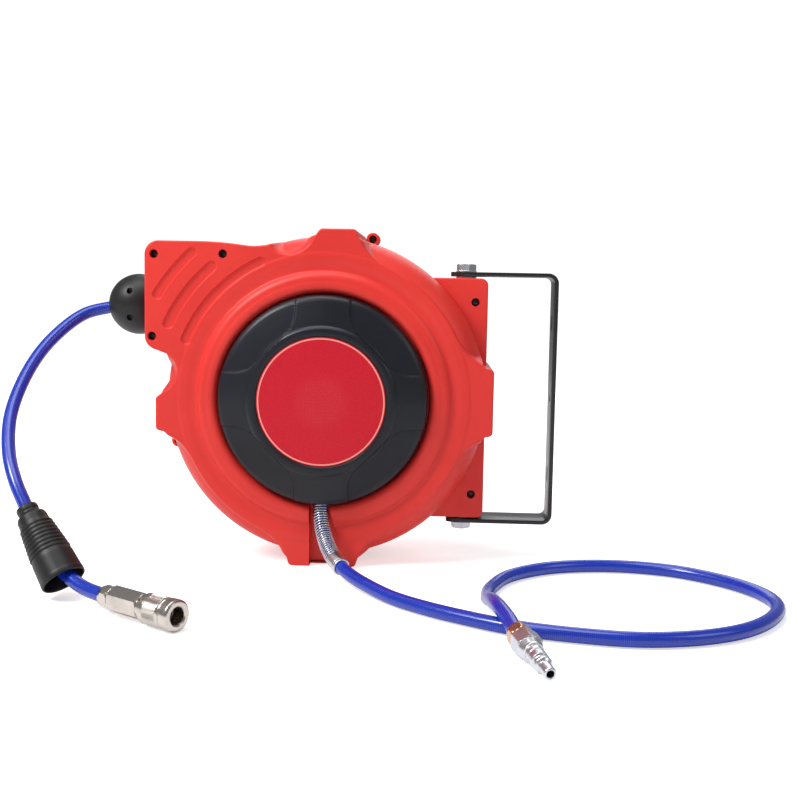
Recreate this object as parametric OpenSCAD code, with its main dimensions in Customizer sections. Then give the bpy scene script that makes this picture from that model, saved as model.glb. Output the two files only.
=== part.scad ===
// Spring-return air hose reel: a closed two-shell case on a flat foot, a
// swinging wall bracket, a spring-driven drum, and two hoses. The outlet hose
// ends in a quick disconnect coupler and the lead-in hose in its plug.
// Frame: origin on the foot under the hub, hub axis along Y, front faces -Y,
// the hose leaves towards -X, the bracket stands towards +X.

/* [Case] */
// Radius of the round case
rim_r = 154; // [150:0.5:160]
// Distance from the hub to the flat end of each pad and of the foot
pad_r = 160; // [158:0.5:168]
// Radius of the flat front face
plateau_r = 137; // [134:0.5:139]
// Depth of the front shell from the parting plane to the flat front face
front_h = 62; // [60:0.5:75]
// Depth of the rear shell
rear_h = 60; // [58:0.5:75]
// Wall thickness of both shells
wall = 3; // [2.4:0.1:3.6]
// Half width of the right pad and of the foot
pad_half_w = 33; // [26:0.5:38]
// Left face of the nose, measured from the hub
nose_x = 170; // [168:0.5:190]
// Top of the nose above the hub
nose_top = 146.5; // [142:0.5:150]
// Bottom of the nose above the hub
nose_bottom = 44; // [40:0.5:50]
// Height of the hose mouth above the hub
mouth_w = 86; // [84:0.5:90]
// Right face of the flange block, measured from the hub
flange_x = 154; // [152:0.5:165]
// Half height of the flange block
flange_half_h = 117; // [112:0.5:118]
// Half thickness of the flange block
flange_half_t = 22; // [20:0.5:26]
// Width of the inlet channel
channel_w = 20; // [18:0.5:24]

/* [Hub cover] */
// Radius of the hub cover
cover_r = 98.5; // [90:0.5:99]
// Height of the hub cover above the parting plane
cover_h = 86; // [84:0.5:92]
// Radius of the label
label_r = 60; // [50:0.5:62]
// Thickness of the label plate
label_t = 1; // [0.6:0.1:2]

/* [Bracket] */
// Distance from the hub to the bracket pivot
pivot_x = 133; // [130:0.5:138]
// Distance from the hub to the wall face of the bracket
wall_face_x = 222; // [218:1:260]
// Width of the bracket strap
strap_w = 38; // [32:1:44]
// Thickness of the bracket strap
strap_t = 4; // [3:0.5:5]
// Diameter of the pivot bolts
pivot_d = 10; // [8:1:10]
// Distance between the two wall slots
slot_pitch = 150; // [120:5:160]
// Width of a wall slot
slot_w = 7; // [6:0.5:9]
// Length of a wall slot
slot_len = 16; // [12:1:24]

/* [Drum] */
// Radius of the drum flanges
drum_r = 125; // [120:0.5:128]
// Outer radius of the drum barrel
barrel_r = 70; // [68:0.5:72]
// Distance from the parting plane to the front of the drum
drum_front_h = 40; // [38:0.5:41]
// Distance from the parting plane to the back of the drum
drum_rear_h = 45; // [42:0.5:48]
// Thickness of a drum flange
flange_t = 3; // [2.5:0.1:3.5]
// Radius of the fixed main shaft
shaft_r = 10; // [9:0.1:11]
// Running clearance between shafts, pins and their bores
run_gap = 0.05; // [0.02:0.01:0.1]

/* [Hose] */
// Outside diameter of the hose
hose_d = 12; // [10:0.1:12.2]
// Inside diameter of the hose
hose_bore = 8; // [6:0.1:8.4]
// Radius of the black stop ball
ball_r = 30; // [28:0.5:31]
// Radius of the guide rollers
roller_r = 7; // [6:0.5:7.5]
// Radius of the rubber boot at its mouth
boot_r = 19; // [16:0.5:20]

/* [Coupler] */
// Length of the quick coupler from nut to face
coupler_len = 88; // [86:1:100]
// Radius of the front ring
ring_r = 12.8; // [12.6:0.1:13.2]
// Radius of the sliding sleeve
sleeve_r = 12.5; // [12.3:0.1:12.7]
// Radius of the socket bore that takes the plug
socket_r = 6.9; // [6.7:0.05:7]
// Travel of the sleeve
sleeve_travel = 4; // [3:0.5:4]
// Across flats of the coupler body
body_af = 20; // [19:0.5:21]
// Number of locking balls
lock_balls = 6; // [4:1:8]

/* [Plug] */
// Across flats of the plug body
plug_af = 19; // [17:0.5:21]
// Length of the plug's hexagonal body
plug_hex_len = 22; // [18:1:26]

/* [Hidden] */
$fn = 96;

case_red = [0.86, 0.18, 0.16];
label_red = [0.74, 0.06, 0.12];
cover_black = [0.13, 0.14, 0.17];
bracket_black = [0.07, 0.07, 0.08];
rubber_black = [0.10, 0.10, 0.11];
hose_blue = [0.05, 0.16, 0.72];
zinc = [0.75, 0.77, 0.80];
nickel = [0.72, 0.69, 0.66];
copper_tint = [0.72, 0.55, 0.45];
brass_gold = [0.78, 0.62, 0.28];
drum_grey = [0.30, 0.31, 0.33];
spring_steel = [0.45, 0.47, 0.52];

hub_z = pad_r;
rim_h = 36;              // depth of the straight rim on either side
ring_h = front_h + 6;    // crest of the two ring beads
floor_h = front_h - 6;   // case front under the cover
bead_in_r = cover_r + 1;
bead_mid_r = 110.5;
bead_out_r = 122;
chan_x = -2;             // centre of the inlet channel
chan_h = floor_h - 7;    // floor of the inlet channel
chan_flare = 16;
top_pad = [-7, 30];       // left and right faces of the pad above the hub
left_pad = [-33, 1];      // bottom and top faces of the pad left of the hub

// ---- small helpers -----------------------------------------------------

// Profiles and outlines are drawn on the hub: height runs towards -Y.
module on_hub() translate([0, 0, hub_z]) rotate([90, 0, 0]) children();
module on_hub_rear() translate([0, 0, hub_z]) mirror([0, 1, 0]) rotate([90, 0, 0]) children();

module ring(ro, ri, h) difference() {
  cylinder(r = ro, h = h);
  translate([0, 0, -1]) cylinder(r = ri, h = h + 2);
}

module hexagon(af) rotate(30) circle(r = af / sqrt(3), $fn = 6);
module hex_prism(af, h) linear_extrude(h) hexagon(af);

function unit(v) = v / norm(v);
function arc(c, r, a0, a1, n) =
  [for (i = [0 : n]) c + r * [cos(a0 + (a1 - a0) * i / n), sin(a0 + (a1 - a0) * i / n)]];

// Places a solid drawn along +Z so that it starts at p and runs towards d.
module aim(p, d) {
  u = unit(d);
  translate(p) rotate([0, acos(u[2]), atan2(u[1], u[0])]) children();
}

// Smooth curve through a list of points.
function spline(a, b, c, d, t) = 0.5 * (2 * b + (c - a) * t
  + (2 * a - 5 * b + 4 * c - d) * t * t + (3 * b - a - 3 * c + d) * t * t * t);
function curve(p, n) = let (m = len(p) - 1) concat(
  [for (i = [0 : m - 1]) for (k = [0 : n - 1])
    spline(i == 0 ? 2 * p[0] - p[1] : p[i - 1], p[i], p[i + 1],
           i == m - 1 ? 2 * p[m] - p[m - 1] : p[i + 2], k / n)],
  [p[m]]);

function heading(c, i) = unit(c[min(i + 1, len(c) - 1)] - c[max(i - 1, 0)]);
function carried(c, i, side) = unit(side - heading(c, i) * (side * heading(c, i)));
function sides_of(c) = [for (i = 0, s = carried(c, 0, [0.31, 1, 0.17]); i < len(c);
  i = i + 1, s = i < len(c) ? carried(c, i, s) : s) s];
function ring_points(c, r, n) = let (s = sides_of(c)) [for (i = [0 : len(c) - 1])
  let (u = s[i], v = cross(heading(c, i), u))
  for (k = [0 : n - 1]) c[i] + r * (u * cos(360 * k / n) + v * sin(360 * k / n))];
function skin(base, rings, n, flip) = [for (i = [0 : rings - 2]) for (k = [0 : n - 1])
  let (a = base + i * n + k, b = base + i * n + (k + 1) % n)
  for (t = flip ? [[a, b, b + n], [a, b + n, a + n]] : [[a, b + n, b], [a, a + n, b + n]]) t];

tube_sides = 10;
module sweep(c, r) {
  m = len(c);
  polyhedron(ring_points(c, r, tube_sides), concat(skin(0, m, tube_sides, false),
    [[for (k = [0 : tube_sides - 1]) k]],
    [[for (k = [tube_sides - 1 : -1 : 0]) (m - 1) * tube_sides + k]]));
}
module sweep_shell(c, ro, ri) {
  m = len(c);
  n = tube_sides;
  inner = m * n;
  ends = [for (k = [0 : n - 1]) let (j = (k + 1) % n, e = (m - 1) * n)
    for (t = [[k, j, inner + j], [k, inner + j, inner + k],
              [e + k, inner + e + j, e + j], [e + k, inner + e + k, inner + e + j]]) t];
  polyhedron(concat(ring_points(c, ro, n), ring_points(c, ri, n)),
    concat(skin(0, m, n, false), skin(inner, m, n, true), ends));
}

// ---- case --------------------------------------------------------------

// Half profiles as [radius, distance from the parting plane].
function shoulder(h) = concat([[plateau_r, h]], [[plateau_r + 4, h - 1.4],
  [plateau_r + 8, h - 6], [rim_r - 4.5, h - 13], [rim_r - 1.2, h - 20], [rim_r, rim_h], [rim_r, 0]]);
front_profile = concat([[0, 0], [0, floor_h], [bead_in_r, floor_h], [bead_in_r, ring_h - 4],
  [bead_in_r + 1.5, ring_h - 1.2], [bead_in_r + 4.5, ring_h], [bead_in_r + 8, ring_h],
  [bead_mid_r - 1, ring_h - 1.4], [bead_mid_r, ring_h - 2.8], [bead_mid_r + 1, ring_h - 1.6],
  [bead_mid_r + 3.5, ring_h - 0.8], [bead_out_r - 4, ring_h - 1], [bead_out_r - 1, front_h + 2],
  [bead_out_r + 1.5, front_h]], shoulder(front_h));
rear_profile = concat([[0, 0], [0, rear_h]], shoulder(rear_h));
function cavity(h, inner_r, inner_h) = concat(
  [[0, -1], [0, inner_h], [inner_r, inner_h]],
  inner_r > 0 ? [[inner_r, ring_h - 4], [bead_out_r - 4, ring_h - 4], [bead_out_r - 2, h - wall]] : [],
  [[plateau_r - 1, h - wall], [plateau_r + 5, h - wall - 5], [rim_r - wall - 4, h - wall - 14],
   [rim_r - wall, rim_h - 2], [rim_r - wall, -1]]);

module nose_outline(inset) {
  x = nose_x - inset;
  top = nose_top - inset;
  low = nose_bottom + inset;
  c = 8 - inset;
  polygon(concat(arc([-x + c, low + c], c, 270, 180, 6), arc([-x + c, top - c], c, 180, 90, 6),
    [[-107, top], [-94, top - 0.8], [-81, top - 3.3], [-60, top - 5.5 - inset / 2],
     [-60, 110], [-100, low]]));
}

// Flat-ended pads: above, left and right of the hub, and the foot below it.
module pad_bands() {
  translate([top_pad[0], 0]) square([top_pad[1] - top_pad[0], pad_r]);
  translate([-pad_r, left_pad[0]]) square([pad_r, left_pad[1] - left_pad[0]]);
  translate([0, -pad_half_w + 1]) square([pad_r, 2 * pad_half_w - 2]);
  translate([-pad_half_w, -pad_r]) square([2 * pad_half_w, pad_r]);
}
module pads(h) difference() {
  union() {
    linear_extrude(h - 8) pad_bands();
    intersection() {
      linear_extrude(h) pad_bands();
      cylinder(r1 = pad_r + h, r2 = pad_r - 4, h = h);
    }
  }
  translate([0, 0, -1]) cylinder(r = plateau_r - 10, h = h + 2);
}

module flange_outline(inset) translate([90, -flange_half_h + inset])
  square([flange_x - inset - 90, 2 * (flange_half_h - inset)]);

lug_angles = [75, 198, 255];
lug_r = rim_r + 4.5;
nose_screws = [[-161, 134], [-96, 135], [-163, 57]];
flange_screws = [[142, 94], [142, -94]];
lug_screws = [for (a = lug_angles) lug_r * [cos(a), sin(a)]];
screw_spots = concat(nose_screws, flange_screws, lug_screws);
screw_r = 2;
head_r = 3.6;
function screw_top(i) = i < 3 ? front_h - 5 : (i < 5 ? flange_half_t - 4 : 8);
screw_len = 14;          // length of a case screw behind the parting plane

module channel_cut(grow) {
  half = channel_w / 2 + grow;
  low = -pad_r - 2;
  linear_extrude(100) polygon([[chan_x - half, -42 + grow], [chan_x + half, -42 + grow],
    [chan_x + half, -bead_in_r - 4], [chan_x + half + chan_flare, low], [chan_x - half, low]]);
}

module bolt_boss(side) translate([pivot_x, 0, hub_z + side * (flange_half_h - 24)])
  mirror([0, 0, side > 0 ? 0 : 1]) cylinder(r = 13, h = 23);
module bolt_cut(side) translate([pivot_x, 0, hub_z + side * (flange_half_h - 30)])
  mirror([0, 0, side > 0 ? 0 : 1]) {
    cylinder(r = pivot_d / 2 + run_gap, h = 32);
    translate([0, 0, 9.9]) hex_prism(1.7 * pivot_d + 0.2, 8.2);
  }

frame_half = 30;         // half size of the roller frame
frame_w = mouth_w + 7;   // height of the roller frame's centre above the hub
post_spots = [[-153, frame_w - 18], [-153, frame_w + 18]];

module shell_body(h) {
  linear_extrude(h) nose_outline(0);
  pads(h);
  linear_extrude(flange_half_t) flange_outline(0);
  for (s = lug_screws) translate([s[0], s[1], 0]) cylinder(r = 6.5, h = 10);
}
module shell_hollow(h) {
  translate([0, 0, -1]) linear_extrude(h - wall + 1) nose_outline(wall);
  translate([0, 0, -1]) linear_extrude(flange_half_t - wall + 1) flange_outline(wall + 1);
}
module screw_bosses(h) {
  for (s = nose_screws) translate([s[0], s[1], 0]) cylinder(r = 5.5, h = h - wall);
  for (s = flange_screws) translate([s[0], s[1], 0]) cylinder(r = 5.5, h = flange_half_t - wall);
}
module guide_posts(h) for (s = post_spots)
  translate([s[0], s[1], frame_half]) cylinder(r = 4, h = h - wall - frame_half + 0.01);

module case_front() color(case_red) difference() {
  union() {
    on_hub() difference() {
      union() {
        rotate_extrude() polygon(front_profile);
        shell_body(front_h);
      }
      difference() {
        union() {
          rotate_extrude() polygon(cavity(front_h, bead_in_r + 4, floor_h - wall));
          shell_hollow(front_h);
        }
        translate([0, 0, chan_h - wall]) channel_cut(wall);
      }
    }
    on_hub() screw_bosses(front_h);
    on_hub() guide_posts(front_h);
    on_hub() translate([0, 0, floor_h - 10]) cylinder(r = 16, h = 8);
    intersection() {
      for (side = [1, -1]) bolt_boss(side);
      translate([100, -flange_half_t, 0]) cube([60, flange_half_t, 2 * hub_z]);
    }
  }
  on_hub() translate([0, 0, chan_h]) channel_cut(0);
  on_hub() translate([0, 0, 40]) cylinder(r = shaft_r + run_gap, h = 30);
  on_hub() translate([0, 0, 52]) cylinder(r = shaft_r + 2.2, h = 30);
  for (side = [1, -1]) bolt_cut(side);
  on_hub() for (i = [0 : len(screw_spots) - 1]) translate([screw_spots[i][0], screw_spots[i][1], 0]) {
    translate([0, 0, -1]) cylinder(r = screw_r + 0.1, h = front_h + 2);
    translate([0, 0, screw_top(i) - 3]) cylinder(r = head_r + 0.1, h = front_h);
  }
  on_hub() for (s = lock_spots) translate([s[0], s[1], 40]) cylinder(r = 1.6, h = 20);
  mouth_cut();
}

module case_rear() color(case_red) difference() {
  union() {
    on_hub_rear() difference() {
      union() {
        rotate_extrude() polygon(rear_profile);
        shell_body(rear_h);
      }
      rotate_extrude() polygon(cavity(rear_h, 0, rear_h - wall));
      shell_hollow(rear_h);
    }
    on_hub_rear() screw_bosses(rear_h);
    on_hub_rear() guide_posts(rear_h);
    on_hub_rear() translate([0, 0, rear_h - 9]) cylinder(r = 22, h = 8);
    intersection() {
      for (side = [1, -1]) bolt_boss(side);
      translate([100, 0, 0]) cube([60, flange_half_t, 2 * hub_z]);
    }
  }
  on_hub_rear() translate([0, 0, 40]) cylinder(r = shaft_r + run_gap, h = 30);
  on_hub_rear() translate([0, 0, rear_h - 6]) cylinder(r = 17, h = 10);
  for (side = [1, -1]) bolt_cut(side);
  on_hub_rear() for (s = screw_spots) translate([s[0], s[1], -1]) cylinder(r = screw_r + 0.1, h = screw_len + 2);
  mouth_cut();
}

mouth_r = ball_r * 0.74;
module mouth_cut() translate([-nose_x - 5, 0, hub_z + mouth_w]) rotate([0, 90, 0])
  cylinder(r = mouth_r, h = 5 + wall + 1);

module case_screws() color(zinc) on_hub() for (i = [0 : len(screw_spots) - 1])
  translate([screw_spots[i][0], screw_spots[i][1], 0]) difference() {
    union() {
      translate([0, 0, -screw_len]) cylinder(r = screw_r, h = screw_len + screw_top(i) - 2.9);
      translate([0, 0, screw_top(i) - 3]) cylinder(r = head_r, h = 2.6);
    }
    for (a = [0, 90]) rotate(a) translate([-2.2, -0.4, screw_top(i) - 1.6]) cube([4.4, 0.8, 2]);
  }

// ---- hub cover and label ------------------------------------------------

skin_t = 2.5;
cover_profile = [[0, cover_h - 1.6], [label_r + 0.6, cover_h - 1.6], [label_r + 0.6, cover_h - 0.6],
  [label_r + 2.5, cover_h], [label_r + 6, cover_h], [label_r + 8.5, cover_h - 1.2],
  [label_r + 10, cover_h - 3], [cover_r - 5, cover_h - 8.5], [cover_r - 1.2, cover_h - 11.5],
  [cover_r, cover_h - 15], [cover_r, floor_h]];
cover_under = [[cover_r - skin_t, floor_h], [cover_r - skin_t, cover_h - 15],
  [cover_r - 6, cover_h - 11.5], [label_r + 9, cover_h - 6.5], [0, cover_h - 5]];
dip = 1.6;
dip_profile = [[label_r + 13, cover_h + 5], [label_r + 13, cover_h - 5.6], [cover_r - 5, cover_h - 8.5 - dip],
  [cover_r - 2.2, cover_h - 12], [cover_r - dip, cover_h - 15], [cover_r - dip, floor_h + 6],
  [cover_r + 5, floor_h + 6], [cover_r + 5, cover_h + 5]];

module hub_cover() color(cover_black) on_hub() difference() {
  rotate_extrude() polygon(concat(cover_profile, cover_under));
  intersection() {
    rotate_extrude() polygon(dip_profile);
    for (a = [0 : 90 : 270]) rotate(a) translate([30, 30, 0]) cube([80, 80, cover_h + 5]);
  }
  translate([chan_x - channel_w / 2, -cover_r - 5, floor_h - 1]) cube([channel_w, 20, 14.5]);
}

module hub_label() color(label_red) on_hub() translate([0, 0, cover_h - 1.6]) cylinder(r = label_r, h = label_t);

// ---- bracket and its pivots ---------------------------------------------

arm_gap = 0.1;
washer_t = 1.9;
arm_h = flange_half_h + washer_t + arm_gap;
module on_pivots() for (side = [0, 1]) translate([pivot_x, 0, hub_z])
  mirror([0, 0, side]) children();

module bracket() color(bracket_black) difference() {
  intersection() {
    translate([0, strap_w / 2, hub_z]) rotate([90, 0, 0]) linear_extrude(strap_w) bracket_side();
    translate([0, 0, hub_z - arm_h - strap_t - 1]) linear_extrude(2 * (arm_h + strap_t + 1)) {
      translate([pivot_x, 0]) circle(r = strap_w / 2);
      translate([pivot_x, -strap_w / 2]) square([wall_face_x - pivot_x + 1, strap_w]);
    }
  }
  translate([pivot_x, 0, 0]) cylinder(r = pivot_d / 2 + run_gap, h = 2 * hub_z);
  for (side = [-1, 1]) translate([wall_face_x - strap_t - 1, 0, hub_z + side * slot_pitch / 2])
    rotate([0, 90, 0]) wall_slot();
  translate([wall_face_x - strap_t - 1, 0, hub_z]) rotate([0, 90, 0]) cylinder(r = slot_w / 2, h = strap_t + 2);
  translate([wall_face_x - strap_t - 1, 0, hub_z - 28]) rotate([0, 90, 0]) cylinder(r = 9, h = 2);
}
module wall_slot() {
  reach = (slot_len - slot_w) / 2;
  for (s = [-1, 1]) translate([s * reach, 0, 0]) cylinder(r = slot_w / 2, h = strap_t + 2);
  translate([-reach, -slot_w / 2, 0]) cube([2 * reach, slot_w, strap_t + 2]);
}
module bracket_side() {
  top = arm_h + strap_t;
  start = pivot_x - strap_w;
  bend = 4;
  difference() {
    polygon(concat([[start, top]], arc([wall_face_x - bend - strap_t, top - bend - strap_t], bend + strap_t, 90, 0, 8),
      arc([wall_face_x - bend - strap_t, -top + bend + strap_t], bend + strap_t, 0, -90, 8), [[start, -top]]));
    polygon(concat([[start - 1, arm_h]], arc([wall_face_x - bend - strap_t, arm_h - bend], bend, 90, 0, 8),
      arc([wall_face_x - bend - strap_t, -arm_h + bend], bend, 0, -90, 8), [[start - 1, -arm_h]]));
  }
}

top_washer_h = arm_h + strap_t + arm_gap;
module pivot_washers() color(zinc) on_pivots() {
  translate([0, 0, flange_half_h]) ring(pivot_d, pivot_d / 2 + run_gap, washer_t);
  translate([0, 0, top_washer_h]) ring(pivot_d, pivot_d / 2 + run_gap, 1.6);
}
module pivot_bolts() color(zinc) on_pivots() {
  translate([0, 0, flange_half_h - 27]) cylinder(r = pivot_d / 2, h = 27 + top_washer_h + 1.6 - flange_half_h);
  translate([0, 0, top_washer_h + 1.6]) intersection() {
    hex_prism(1.7 * pivot_d, 0.64 * pivot_d);
    translate([0, 0, -1]) cylinder(r1 = 1.2 * pivot_d + 1, r2 = 0.9 * pivot_d, h = 0.64 * pivot_d + 1);
  }
}
module pivot_nuts() color(zinc) on_pivots() translate([0, 0, flange_half_h - 20]) difference() {
  hex_prism(1.7 * pivot_d, 8);
  translate([0, 0, -1]) cylinder(r = pivot_d / 2 + run_gap, h = 10);
}

// ---- shaft, swivel and fixed inner pieces -------------------------------

bush_t = 3;
bush_r = shaft_r + bush_t;
plate_h = floor_h + 3;   // front of the lock plate
elbow_h = plate_h + 12;  // height of the elbow's outlet axis
lock_spots = [for (a = [45 : 90 : 315]) 24 * [cos(a), sin(a)]];
port_h = 18;             // where air leaves the shaft
elbow_drop = 40;         // end of the elbow's outlet below the hub

module main_shaft() color(zinc) on_hub() difference() {
  union() {
    translate([0, 0, 1 - rear_h]) cylinder(r = shaft_r, h = rear_h - 1 + plate_h);
    translate([0, 0, plate_h]) cylinder(r = shaft_r - 2, h = 8);
    translate([0, 0, 52]) cylinder(r = shaft_r + 2, h = plate_h - 3 - 52);
  }
  translate([0, 0, port_h - 6]) cylinder(r = 4, h = 100);
  translate([0, 0, port_h]) rotate([0, 90, 0]) cylinder(r = 3, h = 20);
}
module shaft_lock_plate() color(zinc) on_hub() translate([0, 0, floor_h]) difference() {
  cylinder(r = 30, h = 3);
  translate([0, 0, -1]) cylinder(r = shaft_r + run_gap, h = 5);
  for (s = lock_spots) translate([s[0], s[1], -1]) cylinder(r = 1.8, h = 5);
}
module lock_plate_screws() color(zinc) on_hub() for (s = lock_spots) translate([s[0], s[1], 0]) {
  translate([0, 0, floor_h - 6]) cylinder(r = 1.5, h = 9);
  translate([0, 0, floor_h + 3]) cylinder(r = 3, h = 2);
}
module shaft_nut() color(zinc) on_hub_rear() translate([0, 0, rear_h - 6]) difference() {
  hex_prism(28, 5);
  translate([0, 0, -1]) cylinder(r = shaft_r + run_gap, h = 8);
}
module spring_arbor() color(spring_steel) on_hub_rear() translate([0, 0, 6])
  ring(bush_r, shaft_r + run_gap, 24);
module swivel_elbow() color(brass_gold) on_hub() difference() {
  union() {
    translate([0, 0, plate_h]) cylinder(r = shaft_r + 1, h = 20);
    translate([0, -elbow_drop, elbow_h]) rotate([-90, 0, 0]) cylinder(r = 7.5, h = elbow_drop - 4);
  }
  translate([0, 0, plate_h - 1]) cylinder(r = shaft_r - 2 + run_gap, h = 9.05);
  translate([0, 0, plate_h + 7]) cylinder(r = 4, h = 7);
  translate([0, -elbow_drop - 1, elbow_h]) rotate([-90, 0, 0]) cylinder(r = 3.4, h = elbow_drop + 2);
}

// ---- roller guide in the nose -------------------------------------------

feed_r = 110.5;          // the hose leaves the wound pack at this radius
ball_x = -nose_x - 0.7 * ball_r;
ball_span = norm([ball_x, mouth_w]);
leave_a = atan2(mouth_w, ball_x) - acos(feed_r / ball_span);
leave = feed_r * [cos(leave_a), sin(leave_a)];
feed_slope = (leave[1] - mouth_w) / (leave[0] - ball_x);
function feed_w(x) = mouth_w + (x - ball_x) * feed_slope;
roller_gap = hose_d / 2 + roller_r + 0.6;
roller_len = 2 * frame_half - 8;
flat_roller_x = -134;
post_roller_x = -150;
pin_r = 2.5;

module guide_frame() color(drum_grey) difference() {
  translate([-160, -frame_half, hub_z + frame_w - frame_half]) cube([34, 2 * frame_half, 2 * frame_half]);
  translate([-161, 3 - frame_half, hub_z + frame_w - frame_half + 3])
    cube([36, 2 * frame_half - 6, 2 * frame_half - 6]);
  for (s = [-1, 1]) {
    translate([flat_roller_x, frame_half + 1, hub_z + feed_w(flat_roller_x) + s * roller_gap])
      rotate([90, 0, 0]) cylinder(r = pin_r + run_gap, h = 2 * frame_half + 2);
    translate([post_roller_x, s * roller_gap, hub_z + frame_w - frame_half - 1])
      cylinder(r = pin_r + run_gap, h = 2 * frame_half + 2);
  }
}
module roller_pins() color(zinc) for (s = [-1, 1]) {
  translate([flat_roller_x, frame_half, hub_z + feed_w(flat_roller_x) + s * roller_gap])
    rotate([90, 0, 0]) cylinder(r = pin_r, h = 2 * frame_half);
  translate([post_roller_x, s * roller_gap, hub_z + frame_w - frame_half])
    cylinder(r = pin_r, h = 2 * frame_half);
}
module roller() ring(roller_r, pin_r + run_gap, roller_len);
module flat_roller(s) color(cover_black)
  translate([flat_roller_x, roller_len / 2, hub_z + feed_w(flat_roller_x) + s * roller_gap])
    rotate([90, 0, 0]) roller();
module post_roller(s) color(cover_black)
  translate([post_roller_x, s * roller_gap, hub_z + frame_w - roller_len / 2]) roller();
module roller_upper() flat_roller(1);
module roller_lower() flat_roller(-1);
module roller_front() post_roller(-1);
module roller_rear() post_roller(1);

// ---- drum ---------------------------------------------------------------

boss_r = 60.5;
boss_spots = [for (a = [90, 210, 330]) boss_r * [cos(a), sin(a)]];
chamber_r = 54;
module drum_half(h, bush_from) difference() {
  union() {
    translate([0, 0, h - flange_t]) cylinder(r = drum_r, h = flange_t);
    ring(barrel_r, barrel_r - 4, h - 1);
    for (s = boss_spots) translate([s[0], s[1], 0]) cylinder(r = 5, h = h - 1);
    translate([0, 0, bush_from]) cylinder(r = bush_r + 5, h = h + 3 - bush_from);
  }
  translate([0, 0, -1]) cylinder(r = bush_r, h = h + 10);
  for (s = boss_spots) translate([s[0], s[1], -1]) cylinder(r = 2.1, h = h + 5);
}
module drum_front() color(drum_grey) on_hub() difference() {
  drum_half(drum_front_h, drum_front_h - 8);
  translate([50, 0, port_h]) rotate([0, 90, 0]) cylinder(r = hose_d / 2 + 0.2, h = 30);
  for (s = boss_spots) translate([s[0], s[1], drum_front_h - 2.7]) cylinder(r = 3.6, h = 5);
}
module drum_rear() color(drum_grey) on_hub_rear() drum_half(drum_rear_h, drum_rear_h - 13);
module drum_screws() color(zinc) on_hub() for (s = boss_spots) translate([s[0], s[1], 0]) {
  translate([0, 0, 4 - drum_rear_h]) cylinder(r = 2, h = drum_rear_h + drum_front_h - 6);
  translate([0, 0, drum_front_h - 2.7]) cylinder(r = 3.5, h = 2.5);
}
module front_bush() color(brass_gold) on_hub() translate([0, 0, drum_front_h - 8])
  ring(bush_r, shaft_r + run_gap, 12);
module rear_bush() color(brass_gold) on_hub_rear() translate([0, 0, drum_rear_h - 11])
  ring(bush_r, shaft_r + run_gap, 14);

notches = 12;
ratchet_r = 54;
notch_r = 7.5;
module ratchet_ring() color(zinc) on_hub() translate([0, 0, drum_front_h]) difference() {
  ring(ratchet_r, 36, 4);
  for (a = [15 : 360 / notches : 359]) rotate(a) translate([ratchet_r + 1, 0, -1]) cylinder(r = notch_r, h = 6);
}

turns = 6;               // hose turns side by side on the barrel
pack_from = flange_t + 0.4 - drum_rear_h;
pack_to = drum_front_h - flange_t - 0.4;
turn_pitch = (pack_to - pack_from) / turns;
crest_r = feed_r - hose_d / 2 - 0.3;
module drum_hose() color(hose_blue) on_hub() rotate_extrude() {
  translate([barrel_r + 0.2, pack_from]) square([crest_r - turn_pitch / 2 - barrel_r - 0.2, pack_to - pack_from]);
  for (k = [0 : turns - 1]) translate([crest_r - turn_pitch / 2, pack_from + (k + 0.5) * turn_pitch])
    circle(r = turn_pitch / 2, $fn = 32);
}

rotor_from = 6;
rotor_len = 24;
seal_r = 1.3;
seal_spots = [rotor_from + 3.5, rotor_from + rotor_len - 3.5];
module swivel_rotor() color(brass_gold) on_hub() difference() {
  union() {
    translate([0, 0, rotor_from]) cylinder(r = shaft_r + 9, h = rotor_len);
    translate([0, 0, port_h]) rotate([0, 90, 0]) cylinder(r = 6, h = 25);
    translate([0, 0, port_h]) rotate([0, 90, 0]) cylinder(r = hose_bore / 2 - 0.1, h = 40);
  }
  translate([0, 0, rotor_from - 1]) cylinder(r = shaft_r + run_gap, h = rotor_len + 2);
  translate([0, 0, port_h - 4]) cylinder(r = shaft_r + 1.5, h = 8);
  for (h = seal_spots) translate([0, 0, h - 1.4]) cylinder(r = shaft_r + 2.8, h = 2.8);
  translate([0, 0, port_h]) rotate([0, 90, 0]) cylinder(r = 2.8, h = 50);
}
module swivel_seals() color(rubber_black) on_hub() for (h = seal_spots) translate([0, 0, h])
  rotate_extrude() translate([shaft_r + seal_r + 0.1, 0]) circle(r = seal_r, $fn = 32);
module inner_hose() color(hose_blue) on_hub() translate([25, 0, port_h]) rotate([0, 90, 0])
  ring(hose_d / 2, hose_bore / 2, barrel_r - 25);
module spring_cover() color(zinc) on_hub_rear() translate([0, 0, 2]) ring(chamber_r + 1, bush_r + 1, 2);

spring_turns = 8;
spring_from = bush_r + 2;
spring_pitch = (chamber_r - spring_from - 2) / spring_turns;
function coil_r(a) = spring_from + spring_pitch * a / 360;
module power_spring() color(spring_steel) on_hub_rear() translate([0, 0, 6]) linear_extrude(24)
  polygon(concat(
    [for (a = [0 : 20 : 360 * spring_turns]) coil_r(a) * [cos(a), sin(a)]],
    [for (a = [360 * spring_turns : -20 : 0]) (coil_r(a) + 1) * [cos(a), sin(a)]]));

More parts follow.
